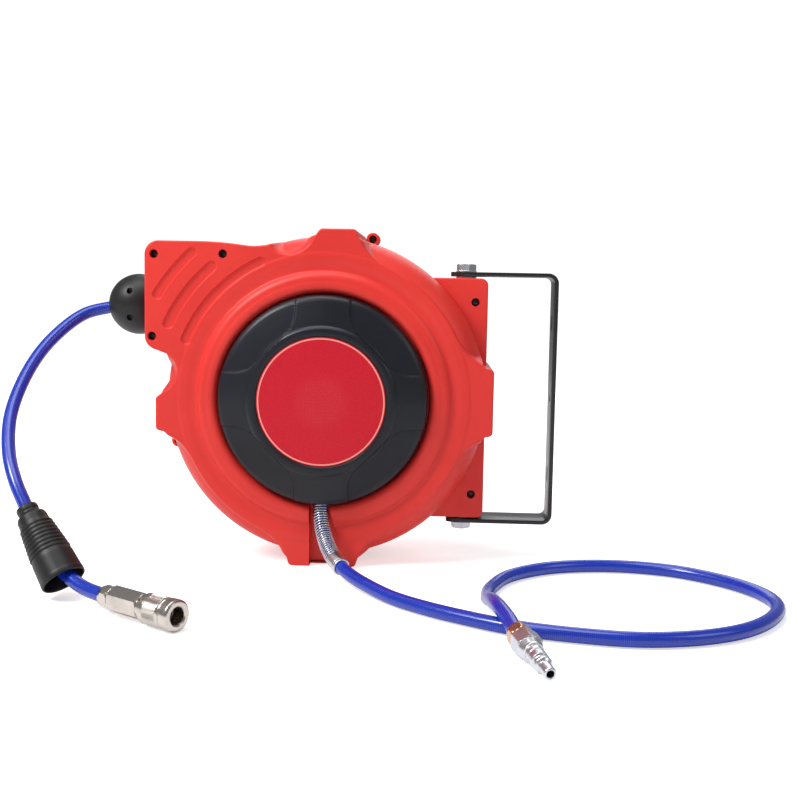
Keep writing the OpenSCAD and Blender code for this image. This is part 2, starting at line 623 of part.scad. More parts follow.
// Pawl: a sprung finger that drops into a notch of the ratchet ring.
pawl_pivot = 80 * [cos(200), sin(200)];
pawl_tip = (ratchet_r + 4.8) * [cos(225), sin(225)];
pawl_h = drum_front_h + 0.9;
module pawl() color(zinc) on_hub() translate([0, 0, pawl_h]) difference() {
  union() {
    translate([pawl_pivot[0], pawl_pivot[1], 0]) cylinder(r = 6, h = 3);
    translate([pawl_tip[0], pawl_tip[1], 0]) cylinder(r = 3.5, h = 3);
    translate([pawl_pivot[0], pawl_pivot[1], 0]) rotate(atan2(pawl_tip[1] - pawl_pivot[1], pawl_tip[0] - pawl_pivot[0]))
      translate([0, -3.5, 0]) cube([norm(pawl_tip - pawl_pivot), 7, 3]);
  }
  translate([pawl_pivot[0], pawl_pivot[1], -1]) cylinder(r = 3 + run_gap, h = 5);
}
module pawl_pin() color(zinc) on_hub() translate([pawl_pivot[0], pawl_pivot[1], pawl_h - 0.5])
  cylinder(r = 3, h = floor_h - wall - pawl_h + 0.5);
module pawl_spring() color(spring_steel) on_hub() translate([pawl_pivot[0], pawl_pivot[1], 0])
  for (k = [0 : 3]) translate([0, 0, pawl_h + 4.6 + 1.6 * k]) rotate_extrude() translate([4.2, 0]) circle(r = 0.7, $fn = 24);

// ---- outlet hose, stop ball and boot ------------------------------------

ball_c = [ball_x, 0, hub_z + mouth_w];
feed_dir = unit([leave[0] - ball_x, 0, leave[1] - mouth_w]);
feed_end = [ball_x, mouth_w];
feed_route = concat(
  [for (a = [leave_a - 45 : 9 : leave_a]) [feed_r * cos(a), 0, hub_z + feed_r * sin(a)]],
  [for (k = [1 : 6]) let (p = leave + (feed_end - leave) * k / 6) [p[0], 0, hub_z + p[1]]]);
module feed_hose() color(hose_blue) sweep(feed_route, hose_d / 2);
ball_bolt_w = 13;
module ball_half(side) intersection() {
  difference() {
    translate(ball_c) sphere(r = ball_r);
    aim(ball_c - 40 * feed_dir, feed_dir) cylinder(r = hose_d / 2 + 0.1, h = 80);
    for (s = [-1, 1]) translate(ball_c + [-3, 0, s * ball_bolt_w]) rotate([90, 0, 0]) {
      translate([0, 0, -40]) cylinder(r = 1.7, h = 80);
      translate([0, 0, 18]) cylinder(r = 3.1, h = 20);
    }
  }
  translate(ball_c + [-50, side > 0 ? 0 : -100, -50]) cube(100);
}
module stop_ball_front() color(rubber_black) ball_half(-1);
module stop_ball_rear() color(rubber_black) ball_half(1);
module stop_ball_screws() color(zinc) for (s = [-1, 1]) translate(ball_c + [-3, 0, s * ball_bolt_w])
  rotate([90, 0, 0]) {
    translate([0, 0, -16]) cylinder(r = 1.6, h = 34);
    translate([0, 0, 18]) cylinder(r = 3, h = 2.4);
  }

coupler_at = [-158, -226, 13];
coupler_dir = [cos(-35), sin(-35), 0];
outlet_route = [ball_c, ball_c - 17 * feed_dir, ball_c - 34 * feed_dir, [-245, -8, 235],
  [-262, -26, 219], [-275, -50, 197], [-282, -77, 170], [-282, -105, 142], [-273, -132, 115],
  [-260, -152, 93], [-245, -165, 71], [-233, -173, 55], [-220, -183, 37.5], [-202, -195, 23],
  [-182, -209, 15], coupler_at - 8 * coupler_dir, coupler_at];
module outlet_hose() color(hose_blue) sweep(curve(outlet_route, 2), hose_d / 2);

boot_at = [-245, -165, 71];
boot_len = 76;
boot_dir = [0.564, -0.395, -0.725];
neck_r = hose_d / 2 + 0.8;
ribs = 7;
boot_profile = concat(
  [[neck_r + 2.6, 0], [neck_r + 3, 4], [neck_r + 3, 9], [neck_r + 5.6, 11], [neck_r + 6.4, 18]],
  [for (k = [0 : ribs - 1]) let (z = 20 + 4.4 * k, r = neck_r + 7.2 + 0.62 * k)
    for (q = [[r, z], [r + 0.9, z + 1.2], [r + 0.9, z + 2.6], [r, z + 3.8]]) q],
  [[boot_r - 0.9, boot_len - 20], [boot_r, boot_len - 2], [boot_r - 1, boot_len], [boot_r - 2, boot_len],
   [boot_r - 2.6, boot_len - 20], [neck_r + 6.5, 34], [neck_r + 4.6, 20], [neck_r, 9], [neck_r, 0]]);
module hose_boot() color(rubber_black) aim(boot_at, boot_dir) rotate_extrude() polygon(boot_profile);

// ---- quick disconnect coupler, drawn along its own axis -------------------

nut_len = 12;
hex_end = 49;            // front shoulder of the hexagonal body
sleeve_from = hex_end + sleeve_travel + 0.3;
sleeve_to = coupler_len - 10;
ring_from = sleeve_to + 0.3;
neck_end = hex_end + 8.5;
ball_at = coupler_len - 15.5;
lock_ball_r = 1.6;
tube_r = socket_r + 2.1;
ball_ring_r = tube_r - 1.2;
land_r = ball_ring_r + lock_ball_r + 0.05;
socket_depth = 13.6;     // length of the full socket bore behind the face
bead_room_r = socket_r - 0.2;
guide_r = 9.8;           // the sleeve's rear bore runs on this radius
seat_at = coupler_len - 31;
valve_travel = 5;
valve_r = socket_r - 0.8;
valve_len = 12;
hose_spigot = 5;

module on_coupler() aim(coupler_at, coupler_dir) children();
module pin_side(d) rotate(-135) translate([d, 0, 0]) children();

module coupler_nut() color(nickel) on_coupler() difference() {
  union() {
    cylinder(r1 = 8.6, r2 = 9.6, h = 3);
    translate([0, 0, 3]) hex_prism(17.5, nut_len - 3.6);
  }
  translate([0, 0, -1]) cylinder(r = hose_spigot + 0.1, h = nut_len + 2);
}
module coupler_body() color(nickel) on_coupler() difference() {
  union() {
    translate([0, 0, 2]) cylinder(r = hose_spigot, h = nut_len);
    translate([0, 0, nut_len - 0.6]) cylinder(r = body_af / 2 - 1.2, h = 3);
    intersection() {
      translate([0, 0, nut_len + 2]) hex_prism(body_af, hex_end - nut_len - 2);
      translate([0, 0, nut_len + 2]) rotate_extrude() polygon([[0, 0], [body_af / 2 + 0.2, 0],
        [body_af / 2 + 1.2, 1.2], [body_af / 2 + 1.2, hex_end - nut_len - 3.2],
        [body_af / 2 + 0.2, hex_end - nut_len - 2], [0, hex_end - nut_len - 2]]);
    }
    translate([0, 0, hex_end]) cylinder(r = guide_r, h = neck_end - hex_end);
    translate([0, 0, hex_end - 2]) cylinder(r = tube_r, h = coupler_len - 2 - hex_end);
  }
  translate([0, 0, coupler_len - socket_depth]) cylinder(r = socket_r, h = 50);
  translate([0, 0, seat_at]) cylinder(r = bead_room_r, h = 30);
  translate([0, 0, 22]) cylinder(r = valve_r + run_gap, h = seat_at - 21);
  translate([0, 0, -1]) cylinder(r = 3, h = 40);
  for (a = [0 : 360 / lock_balls : 359]) rotate(a) translate([0, 0, ball_at]) rotate([0, 90, 0])
    translate([0, 0, socket_r - 2]) cylinder(r = lock_ball_r + 0.06, h = 6);
  pin_side(0) translate([0, 0, hex_end + 2]) rotate([0, 90, 0]) translate([0, 0, guide_r - 2]) cylinder(r = 1.4, h = 5);
}
module coupler_lock_pin() color(nickel) on_coupler() pin_side(0) translate([0, 0, hex_end + 2])
  rotate([0, 90, 0]) translate([0, 0, guide_r - 2]) cylinder(r = 1.38, h = 4.3);
module coupler_balls() color(zinc) on_coupler() for (a = [0 : 360 / lock_balls : 359]) rotate(a)
  translate([ball_ring_r, 0, ball_at]) sphere(r = lock_ball_r, $fn = 32);
module coupler_seal() color(rubber_black) on_coupler() translate([0, 0, seat_at + 0.1])
  ring(bead_room_r - 0.02, bead_room_r - 1.7, 2.9);
module coupler_ring() color(nickel) on_coupler() difference() {
  translate([0, 0, ring_from]) {
    cylinder(r1 = ring_r - 0.8, r2 = ring_r, h = 0.8);
    translate([0, 0, 0.8]) cylinder(r = ring_r, h = coupler_len - ring_from - 2.2);
    translate([0, 0, coupler_len - ring_from - 1.4]) cylinder(r1 = ring_r, r2 = ring_r - 1.4, h = 1.4);
  }
  translate([0, 0, ring_from - 1]) cylinder(r = tube_r + 0.02, h = coupler_len - 4 - ring_from + 1);
  translate([0, 0, ring_from]) cylinder(r = socket_r, h = coupler_len);
}
module coupler_sleeve() color(nickel) on_coupler() difference() {
  union() {
    translate([0, 0, sleeve_from]) cylinder(r = sleeve_r - 0.5, h = 5.5);
    translate([0, 0, sleeve_from + 5]) cylinder(r = sleeve_r, h = sleeve_to - sleeve_from - 7);
    translate([0, 0, sleeve_to - 3]) cylinder(r = sleeve_r - 0.7, h = 3);
  }
  translate([0, 0, sleeve_from - 1]) cylinder(r = guide_r + run_gap, h = 5);
  translate([0, 0, sleeve_from + 3.8]) cylinder(r = tube_r + 2.1, h = ball_at - 3 - sleeve_from - 3.8);
  translate([0, 0, sleeve_from]) cylinder(r = land_r, h = 40);
  translate([0, 0, ball_at + 2.1]) cylinder(r = land_r + 1, h = 20);
  pin_side(guide_r - 1) translate([0, -1.9, sleeve_from - 1]) cube([5, 3.8, sleeve_travel + 1.6]);
}
module wire_rings(r, wire, from, to, n) for (k = [0 : n - 1])
  translate([0, 0, from + wire + (to - from - 2 * wire) * k / (n - 1)])
    rotate_extrude() translate([r, 0]) circle(r = wire, $fn = 24);
module coupler_sleeve_spring() color(spring_steel) on_coupler()
  wire_rings(tube_r + 0.95, 0.6, neck_end + 0.2, ball_at - 3 - sleeve_travel - 0.2, 4);
module coupler_valve() color(brass_gold) on_coupler() difference() {
  translate([0, 0, seat_at - valve_len]) cylinder(r = valve_r, h = valve_len);
  translate([0, 0, seat_at - valve_len - 1]) cylinder(r = valve_r - 1.4, h = valve_len - 2);
  for (a = [0, 90]) rotate(a) translate([-10, 0, seat_at - valve_len / 2]) rotate([0, 90, 0]) cylinder(r = 1.5, h = 20);
}
module coupler_valve_spring() color(spring_steel) on_coupler()
  wire_rings(valve_r - 1.5, 0.6, 22.2, seat_at - valve_len - valve_travel - 0.3, 6);

// ---- lead-in hose and plug -------------------------------------------------

plug_at = [170, -295, 14.5];
plug_dir = [cos(-75) * cos(-6), sin(-75) * cos(-6), sin(-6)];
lead_route = [[0, -elbow_h, hub_z - elbow_drop], [0, -elbow_h, hub_z - elbow_drop - 8], [-1, -65, 95],
  [-2, -61, 78], [-1, -61, 62], [0, -68, 46],
  [6, -83, 30], [16, -105, 19], [31, -130, 12], [50, -156, 8.5], [74, -186, 6.5], [103, -214, 6.5],
  [136, -238, 6.5], [172, -259, 6.5], [218, -273, 6.5], [264, -279, 6.5], [310, -270, 6.5],
  [350, -248, 6.5], [380, -214, 6.5], [396, -175, 6.5], [391, -134, 6.5], [367, -96, 6.5], [328, -66, 6.5],
  [275, -55, 6.5], [220, -67, 6.5], [178, -101, 6.5], [158, -145, 6.5], [153, -187, 10],
  [155, -217, 16], [159, -247, 19.6], [165, -272, 17.6], plug_at - 8 * plug_dir, plug_at];
lead_curve = curve(lead_route, 2);
function part_of(c, a, b) = [for (i = [a : b]) c[i]];
module lead_hose() color(hose_blue) sweep(lead_curve, hose_d / 2);
module lead_spring_guard() color(spring_steel) sweep_shell(part_of(lead_curve, 5, 15), hose_d / 2 + 1.4, hose_d / 2 + 0.3);
module guard_ferrule() color(zinc) sweep_shell(part_of(lead_curve, 14, 15), hose_d / 2 + 2.4, hose_d / 2 + 1.45);

module on_plug() aim(plug_at, plug_dir) children();
collar_at = nut_len + plug_hex_len + 3;
nose_profile = [[0, 0], [socket_r - 0.05, 0], [socket_r - 0.05, 13.5], [socket_r - 1.5, 14], [socket_r - 1.5, 17],
  [socket_r - 0.3, 17.6], [socket_r - 0.3, 20], [socket_r - 2.3, 21.5], [socket_r - 2.3, 32.5],
  [socket_r - 3, 33.5], [0, 33.5]];
module plug_nut() color(copper_tint) on_plug() difference() {
  union() {
    cylinder(r1 = 8.4, r2 = 9.4, h = 3);
    translate([0, 0, 3]) hex_prism(17, nut_len - 3.4);
  }
  translate([0, 0, -1]) cylinder(r = hose_spigot + 0.1, h = nut_len + 2);
}
module plug_body() color(zinc) on_plug() difference() {
  union() {
    translate([0, 0, 2]) cylinder(r = hose_spigot, h = nut_len);
    translate([0, 0, nut_len - 0.4]) cylinder(r = plug_af / 2 - 1.5, h = 2.4);
    translate([0, 0, nut_len + 1.5]) hex_prism(plug_af, plug_hex_len - 6);
    translate([0, 0, collar_at - 7.5]) cylinder(r1 = plug_af / 2, r2 = socket_r + 1.2, h = 4.5);
    translate([0, 0, collar_at - 3]) cylinder(r = socket_r + 1.2, h = 3);
    translate([0, 0, collar_at]) rotate_extrude() polygon(nose_profile);
  }
  translate([0, 0, -1]) cylinder(r = 2.8, h = collar_at + 40);
}

case_front();
case_rear();
hub_cover();
hub_label();
case_screws();
pivot_bolts();
pivot_nuts();
pivot_washers();
bracket();
main_shaft();
shaft_lock_plate();
lock_plate_screws();
shaft_nut();
spring_arbor();
swivel_elbow();
guide_frame();
roller_pins();
roller_upper();
roller_lower();
roller_front();
roller_rear();
pawl();
pawl_pin();
pawl_spring();
drum_front();
drum_rear();
drum_screws();
drum_hose();
ratchet_ring();
front_bush();
rear_bush();
swivel_rotor();
swivel_seals();
inner_hose();
spring_cover();
power_spring();
feed_hose();
stop_ball_front();
stop_ball_rear();
stop_ball_screws();
outlet_hose();
hose_boot();
coupler_nut();
coupler_body();
coupler_ring();
coupler_lock_pin();
coupler_balls();
coupler_seal();
coupler_sleeve();
coupler_sleeve_spring();
coupler_valve();
coupler_valve_spring();
lead_hose();
lead_spring_guard();
guard_ferrule();
plug_nut();
plug_body();
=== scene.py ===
# %% [markdown]
# # A spring-return air hose reel
# This lesson builds the looks of a wall-mounted air hose reel round a CAD
# model that is already packed. The CAD gives every place and size; here the
# shells, the hoses and the fittings get their real surfaces. The first lines
# load the CAD as a fixed frame.

# %% Load the frame
import bpy, bmesh, math
import numpy as np
from mathutils import Vector, Matrix


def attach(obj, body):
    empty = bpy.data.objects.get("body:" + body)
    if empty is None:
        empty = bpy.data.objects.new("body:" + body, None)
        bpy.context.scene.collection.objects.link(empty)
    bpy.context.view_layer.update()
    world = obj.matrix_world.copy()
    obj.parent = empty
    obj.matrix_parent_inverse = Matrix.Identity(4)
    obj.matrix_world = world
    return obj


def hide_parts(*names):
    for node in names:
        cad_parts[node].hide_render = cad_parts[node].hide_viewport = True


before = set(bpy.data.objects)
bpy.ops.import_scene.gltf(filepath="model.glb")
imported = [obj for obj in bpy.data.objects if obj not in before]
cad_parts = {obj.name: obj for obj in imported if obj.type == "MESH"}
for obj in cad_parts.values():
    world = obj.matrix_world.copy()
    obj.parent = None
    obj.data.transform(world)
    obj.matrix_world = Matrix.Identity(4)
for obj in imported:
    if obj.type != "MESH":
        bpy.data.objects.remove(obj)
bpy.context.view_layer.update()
MM = 0.001

# %% [markdown]
# ## Writing shader maths as Python
# A wire is a number, colour or vector on its way between two shader nodes.
# Wrapping it in a small class lets a finish be written as ordinary sums. A
# finish owns its tree and makes any other node through one method.

# %% Wires and finishes
class Wire:
    """One output socket, on which sums can be written."""
    def __init__(self, finish, socket):
        self.finish, self.socket = finish, socket
    def _sum(self, how, a, b):
        return self.finish.node("ShaderNodeMath", {"operation": how}, a, b)
    def __add__(self, o): return self._sum("ADD", self, o)
    def __radd__(self, o): return self._sum("ADD", o, self)
    def __sub__(self, o): return self._sum("SUBTRACT", self, o)
    def __rsub__(self, o): return self._sum("SUBTRACT", o, self)
    def __mul__(self, o): return self._sum("MULTIPLY", self, o)
    def __rmul__(self, o): return self._sum("MULTIPLY", o, self)
    def __truediv__(self, o): return self._sum("DIVIDE", self, o)
    def __gt__(self, o): return self._sum("GREATER_THAN", self, o)
    def __lt__(self, o): return self._sum("LESS_THAN", self, o)

class Finish:
    """A material with one Principled shader, whose uniform numbers are set at once."""
    def __init__(self, name, colour, roughness, **flat):
        self.name, self.material = name, bpy.data.materials.new(name)
        self.material.use_nodes = True
        self.tree = self.material.node_tree
        self.shader = self.tree.nodes["Principled BSDF"]
        self.material.diffuse_color = (*colour, 1)
        self.set(**{"Base Color": (*colour, 1), "Roughness": roughness, **flat})
    def set(self, **sockets):
        for name, value in sockets.items():
            self.put(self.shader.inputs[name], value)
        return self
    def put(self, socket, value):
        if isinstance(value, Wire):
            self.tree.links.new(value.socket, socket)
        else:
            socket.default_value = value
    def node(self, kind, settings=None, *values, out=0, **named):
        made = self.tree.nodes.new(kind)
        for key, value in (settings or {}).items():
            if key == "stops":
                ramp = made.color_ramp.elements
                while len(ramp) < len(value):
                    ramp.new(0.5)
                for stop, (at, colour) in zip(ramp, value):
                    stop.position, stop.color = at, colour
            else:
                setattr(made, key, value)
        for i, value in enumerate(values):
            self.put(made.inputs[i], value)
        for key, value in named.items():
            self.put(made.inputs[key.replace("_", " ")], value)
        return Wire(self, made.outputs[out])
    def place(self, uv=False):
        return self.node("ShaderNodeTexCoord", out="UV" if uv else "Object")
    def noise(self, where, scale, detail=2.0, rough=0.5):
        return self.node("ShaderNodeTexNoise", {"noise_dimensions": "3D"}, Vector=where,
                         Scale=scale, Detail=detail, Roughness=rough)
    def ramp(self, wire, low, high, a=0.0, b=1.0):
        return self.node("ShaderNodeMapRange", {"interpolation_type": "SMOOTHSTEP"}, wire, low, high, a, b)
    def mix(self, share, a, b):
        made = self.node("ShaderNodeMix", {"data_type": "RGBA"}, out=2)
        node = made.socket.node
        self.put(node.inputs[0], share)
        for socket, value in ((node.inputs[6], a), (node.inputs[7], b)):
            self.put(socket, value if isinstance(value, Wire) else (*value[:3], 1))
        return made
    def bump(self, height, depth, strength=1.0):
        normal = self.node("ShaderNodeBump", None, Strength=strength, Distance=depth, Height=height)
        self.put(self.shader.inputs["Normal"], normal)
        return self

finishes = {}
def moulded(name, colour, dark, roughness, grain, coat=0.0, ior=1.5, gloss=0.4):
    """Moulded plastic: spark-eroded grain, soft tone drift and a few rubbed patches."""
    f = Finish(name, colour, roughness, IOR=ior, **{"Coat Weight": coat, "Specular IOR Level": gloss})
    where = f.place()
    drift = f.noise(where, 9.0, 3.0)
    fine = f.noise(where, grain, 2.0, 0.6)
    rub = f.ramp(f.noise(where, 34.0, 5.0, 0.62), 0.55, 0.75)
    f.set(**{"Base Color": f.mix(f.ramp(drift, 0.3, 0.7), dark, colour),
             "Roughness": roughness + 0.10 * (fine - 0.5) + 0.06 * rub})
    f.bump(fine + drift * 0.3, 0.00012, 0.55)
    finishes[name] = f
    return f

def metal(name, colour, tint, roughness, scratch=0.6, grain=900.0):
    """Plated or bare metal: a little tint drift, drawn marks and uneven gloss."""
    f = Finish(name, colour, roughness, Metallic=1.0)
    where = f.place()
    cloud = f.noise(where, 60.0, 4.0, 0.6)
    fine = f.noise(where, grain, 3.0, 0.65)
    f.set(**{"Base Color": f.mix(f.ramp(cloud, 0.35, 0.7), colour, tint),
             "Roughness": roughness + 0.16 * (cloud - 0.45) + 0.10 * (fine - 0.5)})
    f.bump(fine, 0.00004, scratch)
    finishes[name] = f
    return f

case_red = moulded("case_red", (0.78, 0.040, 0.030), (0.71, 0.032, 0.026), 0.40, 2200.0, gloss=0.35)
cover_black = moulded("cover_black", (0.010, 0.011, 0.017), (0.007, 0.008, 0.012), 0.36, 1900.0, gloss=0.35)
rubber_black = moulded("rubber_black", (0.010, 0.010, 0.011), (0.007, 0.007, 0.008), 0.44, 1400.0)
drum_grey = moulded("drum_grey", (0.075, 0.080, 0.088), (0.060, 0.064, 0.070), 0.5, 1500.0)
zinc = metal("zinc", (0.72, 0.74, 0.77), (0.62, 0.64, 0.70), 0.30)
nickel = metal("nickel", (0.66, 0.61, 0.56), (0.56, 0.52, 0.48), 0.24)
copper_tint = metal("copper_tint", (0.72, 0.47, 0.33), (0.62, 0.46, 0.36), 0.26)
brass = metal("brass", (0.78, 0.57, 0.24), (0.66, 0.47, 0.20), 0.30)
spring_steel = metal("spring_steel", (0.60, 0.62, 0.68), (0.46, 0.48, 0.55), 0.26)
print(len(finishes), "finishes so far")

# %% [markdown]
# Powder coat is a melted film: it has a faint orange peel, and bare metal
# shows where tools and fingers have worn it. The peel is a coarse noise on
# the bump, and the wear lifts the roughness only in small patches.

# %% Powder coat for the bracket
powder = Finish("bracket_black", (0.010, 0.010, 0.012), 0.34, **{"Coat Weight": 0.15})
where = powder.place()
peel = powder.noise(where, 420.0, 2.0)
worn = powder.ramp(powder.noise(where, 55.0, 6.0, 0.7), 0.62, 0.78)
powder.set(**{"Base Color": powder.mix(worn * 0.35, (0.010, 0.010, 0.012), (0.06, 0.06, 0.065)),
              "Roughness": 0.33 + 0.14 * worn})
powder.bump(peel, 0.0002, 0.35)
finishes["bracket_black"] = powder

# %% [markdown]
# ## Small mesh tools
# Most pieces here are rings of points joined into a skin: a lathe turns one
# profile into rings, a hose carries one circle along a path, and a moulded
# shell is a grid of rings round the hub. One function joins rings, so that
# every piece gets closed ends and outward faces in the same way.

# %% Rings into a skin
def piece(name, verts, faces, finish, body, stands_for=(), smooth_angle=35, uvs=None):
    """A finished mesh object at the origin, riding on its body."""
    mesh = bpy.data.meshes.new(name)
    mesh.from_pydata([tuple(v) for v in verts], [], faces)
    if uvs is not None:
        layer = mesh.uv_layers.new(name="UVMap")
        layer.data.foreach_set("uv", np.asarray(uvs, np.float32).ravel())
    return dress(mesh, name, finish, body, stands_for, smooth_angle)

def dress(mesh, name, finish, body, stands_for=(), smooth_angle=35):
    mesh.materials.clear()
    mesh.materials.append(finish.material)
    mesh.polygons.foreach_set("use_smooth", [True] * len(mesh.polygons))
    mesh.set_sharp_from_angle(angle=math.radians(smooth_angle))
    mesh.update()
    made = bpy.data.objects.new(name, mesh)
    bpy.context.scene.collection.objects.link(made)
    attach(made, body)
    if stands_for:
        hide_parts(*stands_for)
    return made

def skin_faces(rings, n, closed=True, loop=False):
    """Quads between rings of n points; a loop joins the last ring to the first."""
    i, k = np.meshgrid(np.arange(rings - 1), np.arange(n if closed else n - 1), indexing="ij")
    a, b = i * n + k, i * n + (k + 1) % n
    faces = np.stack([a, b, b + n, a + n], -1).reshape(-1, 4).tolist()
    last = (rings - 1) * n
    return faces + ([[last + k, last + (k + 1) % n, (k + 1) % n, k] for k in range(n)] if loop else [])

def capped_faces(rings, n):
    """The same quads with a flat face on the first and the last ring."""
    last = (rings - 1) * n
    return skin_faces(rings, n) + [list(range(n)), list(range(last + n - 1, last - 1, -1))]

def on_circle(radius, degrees):
    t = math.radians(degrees)
    return radius * math.cos(t), radius * math.sin(t)

def tidy(verts, faces, merge=1e-7):
    """Merges doubles and points every face outwards."""
    mesh = bpy.data.meshes.new("tidy")
    mesh.from_pydata([tuple(v) for v in verts], [], faces)
    bm = bmesh.new()
    bm.from_mesh(mesh)
    bmesh.ops.remove_doubles(bm, verts=bm.verts, dist=merge)
    bmesh.ops.recalc_face_normals(bm, faces=bm.faces)
    bm.to_mesh(mesh)
    bm.free()
    return mesh

def lathe(profile, n=96, at=Vector((0, 0, 0)), towards=Vector((0, 0, 1))):
    """Turns [radius, height] points (mm) round an axis; ends at radius 0 close up."""
    w = Vector(towards).normalized()
    u = w.orthogonal().normalized()
    v = w.cross(u)
    angle = np.linspace(0, 2 * math.pi, n, endpoint=False)
    circle = np.outer(np.cos(angle), u) + np.outer(np.sin(angle), v)
    rings = [np.array(at) + MM * (r * circle + h * np.array(w)) for r, h in profile]
    faces = skin_faces(len(profile), n)
    return np.concatenate(rings), faces

def rounded(profile, radius, steps=4):
    """Rounds the corners of an open [r, h] profile by a small radius (mm)."""
    p = [np.array(q, float) for q in profile]
    out = [p[0]]
    for a, b, c in zip(p, p[1:], p[2:]):
        da, dc = a - b, c - b
        la, lc = np.linalg.norm(da), np.linalg.norm(dc)
        if la < 1e-6 or lc < 1e-6 or b[0] < 1e-6:
            out.append(b)
            continue
        cut = min(radius, la * 0.45, lc * 0.45)
        s, e = b + da / la * cut, b + dc / lc * cut
        out += [(1 - t) ** 2 * s + 2 * t * (1 - t) * b + t * t * e for t in np.linspace(0, 1, steps)]
    return [tuple(q) for q in out + [p[-1]]]
print("mesh tools ready")

# %% [markdown]
# ## The camera
# The reel is looked at from a little to the right of its axis and a little
# above, through a normal lens. Azimuth, elevation and roll are turned into
# the camera's own axes, which is easier to adjust than a rotation matrix.

# %% Camera
def aim_camera(place, azimuth, elevation, roll, lens):
    a, e, r = (math.radians(x) for x in (azimuth, elevation, roll))
    back = Vector((math.sin(a) * math.cos(e), -math.cos(a) * math.cos(e), math.sin(e)))
    right = Vector((0, 0, 1)).cross(back).normalized()
    up = back.cross(right)
    right, up = math.cos(r) * right - math.sin(r) * up, math.cos(r) * up + math.sin(r) * right
    camera = bpy.data.objects.new("camera", bpy.data.cameras.new("camera"))
    camera.matrix_world = Matrix.Translation(place) @ Matrix((right, up, back)).transposed().to_4x4()
    camera.data.lens, camera.data.sensor_width = lens, 36
    camera.data.clip_start, camera.data.clip_end = 0.01, 100
    bpy.context.scene.collection.objects.link(camera)
    bpy.context.scene.camera = camera
    return camera

camera = aim_camera((0.1094, -1.0758, 0.2592), 2.1, 5.5, -1.06, 48.84)
print("camera at", [round(v, 3) for v in camera.location])

# %% [markdown]
# ## The two hoses
# Braided polyurethane hose is stiff for its size: it keeps one smooth curve
# and never kinks. Each hose follows its CAD route, smoothed through the same
# points. Its own UV map runs once round the hose and along it by real length,
# so that the braid under the skin keeps its size round every bend.

# %% Smooth routes
def smooth_route(points, steps):
    p = [Vector(q) for q in points]
    p = [2 * p[0] - p[1]] + p + [2 * p[-1] - p[-2]]
    out = []
    for a, b, c, d in zip(p, p[1:], p[2:], p[3:]):
        for k in range(steps):
            t = k / steps
            out.append(0.5 * (2 * b + (c - a) * t + (2 * a - 5 * b + 4 * c - d) * t * t
                              + (3 * b - a - 3 * c + d) * t ** 3))
    return np.array(out + [p[-2]]) * MM

def frames_along(path):
    """Heading and two sides at each point, carried along without twist."""
    ahead = np.gradient(path, axis=0)
    ahead /= np.linalg.norm(ahead, axis=1)[:, None]
    side = np.cross(ahead[0], (0.31, 1, 0.17))
    sides = []
    for h in ahead:
        side = side - h * side.dot(h)
        side /= np.linalg.norm(side)
        sides.append(side)
    return ahead, np.array(sides), np.cross(ahead, sides)

def run_length(path):
    return np.concatenate([[0], np.cumsum(np.linalg.norm(np.diff(path, axis=0), axis=1))])

hub_z, mouth_w, ball_x, feed_r = 160.0, 86.0, -191.0, 110.5
ball_centre = Vector((ball_x, 0, hub_z + mouth_w))
span = math.hypot(ball_x, mouth_w)
leave_angle = math.atan2(mouth_w, ball_x) - math.acos(feed_r / span)
leave = Vector((feed_r * math.cos(leave_angle), 0, hub_z + feed_r * math.sin(leave_angle)))
feed_dir = (leave - ball_centre).normalized()
coupler_at = Vector((-158, -226, 13))
coupler_dir = Vector((math.cos(math.radians(-35)), math.sin(math.radians(-35)), 0))
outlet_route = [ball_centre, ball_centre - 17 * feed_dir, ball_centre - 34 * feed_dir,
    (-245, -8, 235), (-262, -26, 219), (-275, -50, 197), (-282, -77, 170), (-282, -105, 142),
    (-273, -132, 115), (-260, -152, 93), (-245, -165, 71), (-233, -173, 55), (-220, -183, 37.5),
    (-202, -195, 23), (-182, -209, 15), coupler_at - 8 * coupler_dir, coupler_at]
plug_at = Vector((170, -295, 14.5))
plug_dir = Vector((math.cos(math.radians(-75)) * math.cos(math.radians(-6)),
                   math.sin(math.radians(-75)) * math.cos(math.radians(-6)), math.sin(math.radians(-6))))
elbow_h = 71.0
lead_route = [(0, -elbow_h, 120), (0, -elbow_h, 112), (-1, -65, 95), (-2, -61, 78), (-1, -61, 62),
    (0, -68, 46), (6, -83, 30), (16, -105, 19), (31, -130, 12), (50, -156, 8.5), (74, -186, 6.5),
    (103, -214, 6.5), (136, -238, 6.5), (172, -259, 6.5), (218, -273, 6.5), (264, -279, 6.5),
    (310, -270, 6.5), (350, -248, 6.5), (380, -214, 6.5), (396, -175, 6.5), (391, -134, 6.5),
    (367, -96, 6.5), (328, -66, 6.5), (275, -55, 6.5), (220, -67, 6.5), (178, -101, 6.5),
    (158, -145, 6.5), (153, -187, 10), (155, -217, 16), (159, -247, 19.6), (165, -272, 17.6),
    plug_at - 8 * plug_dir, plug_at]
outlet_path, lead_path = smooth_route(outlet_route, 10), smooth_route(lead_route, 10)

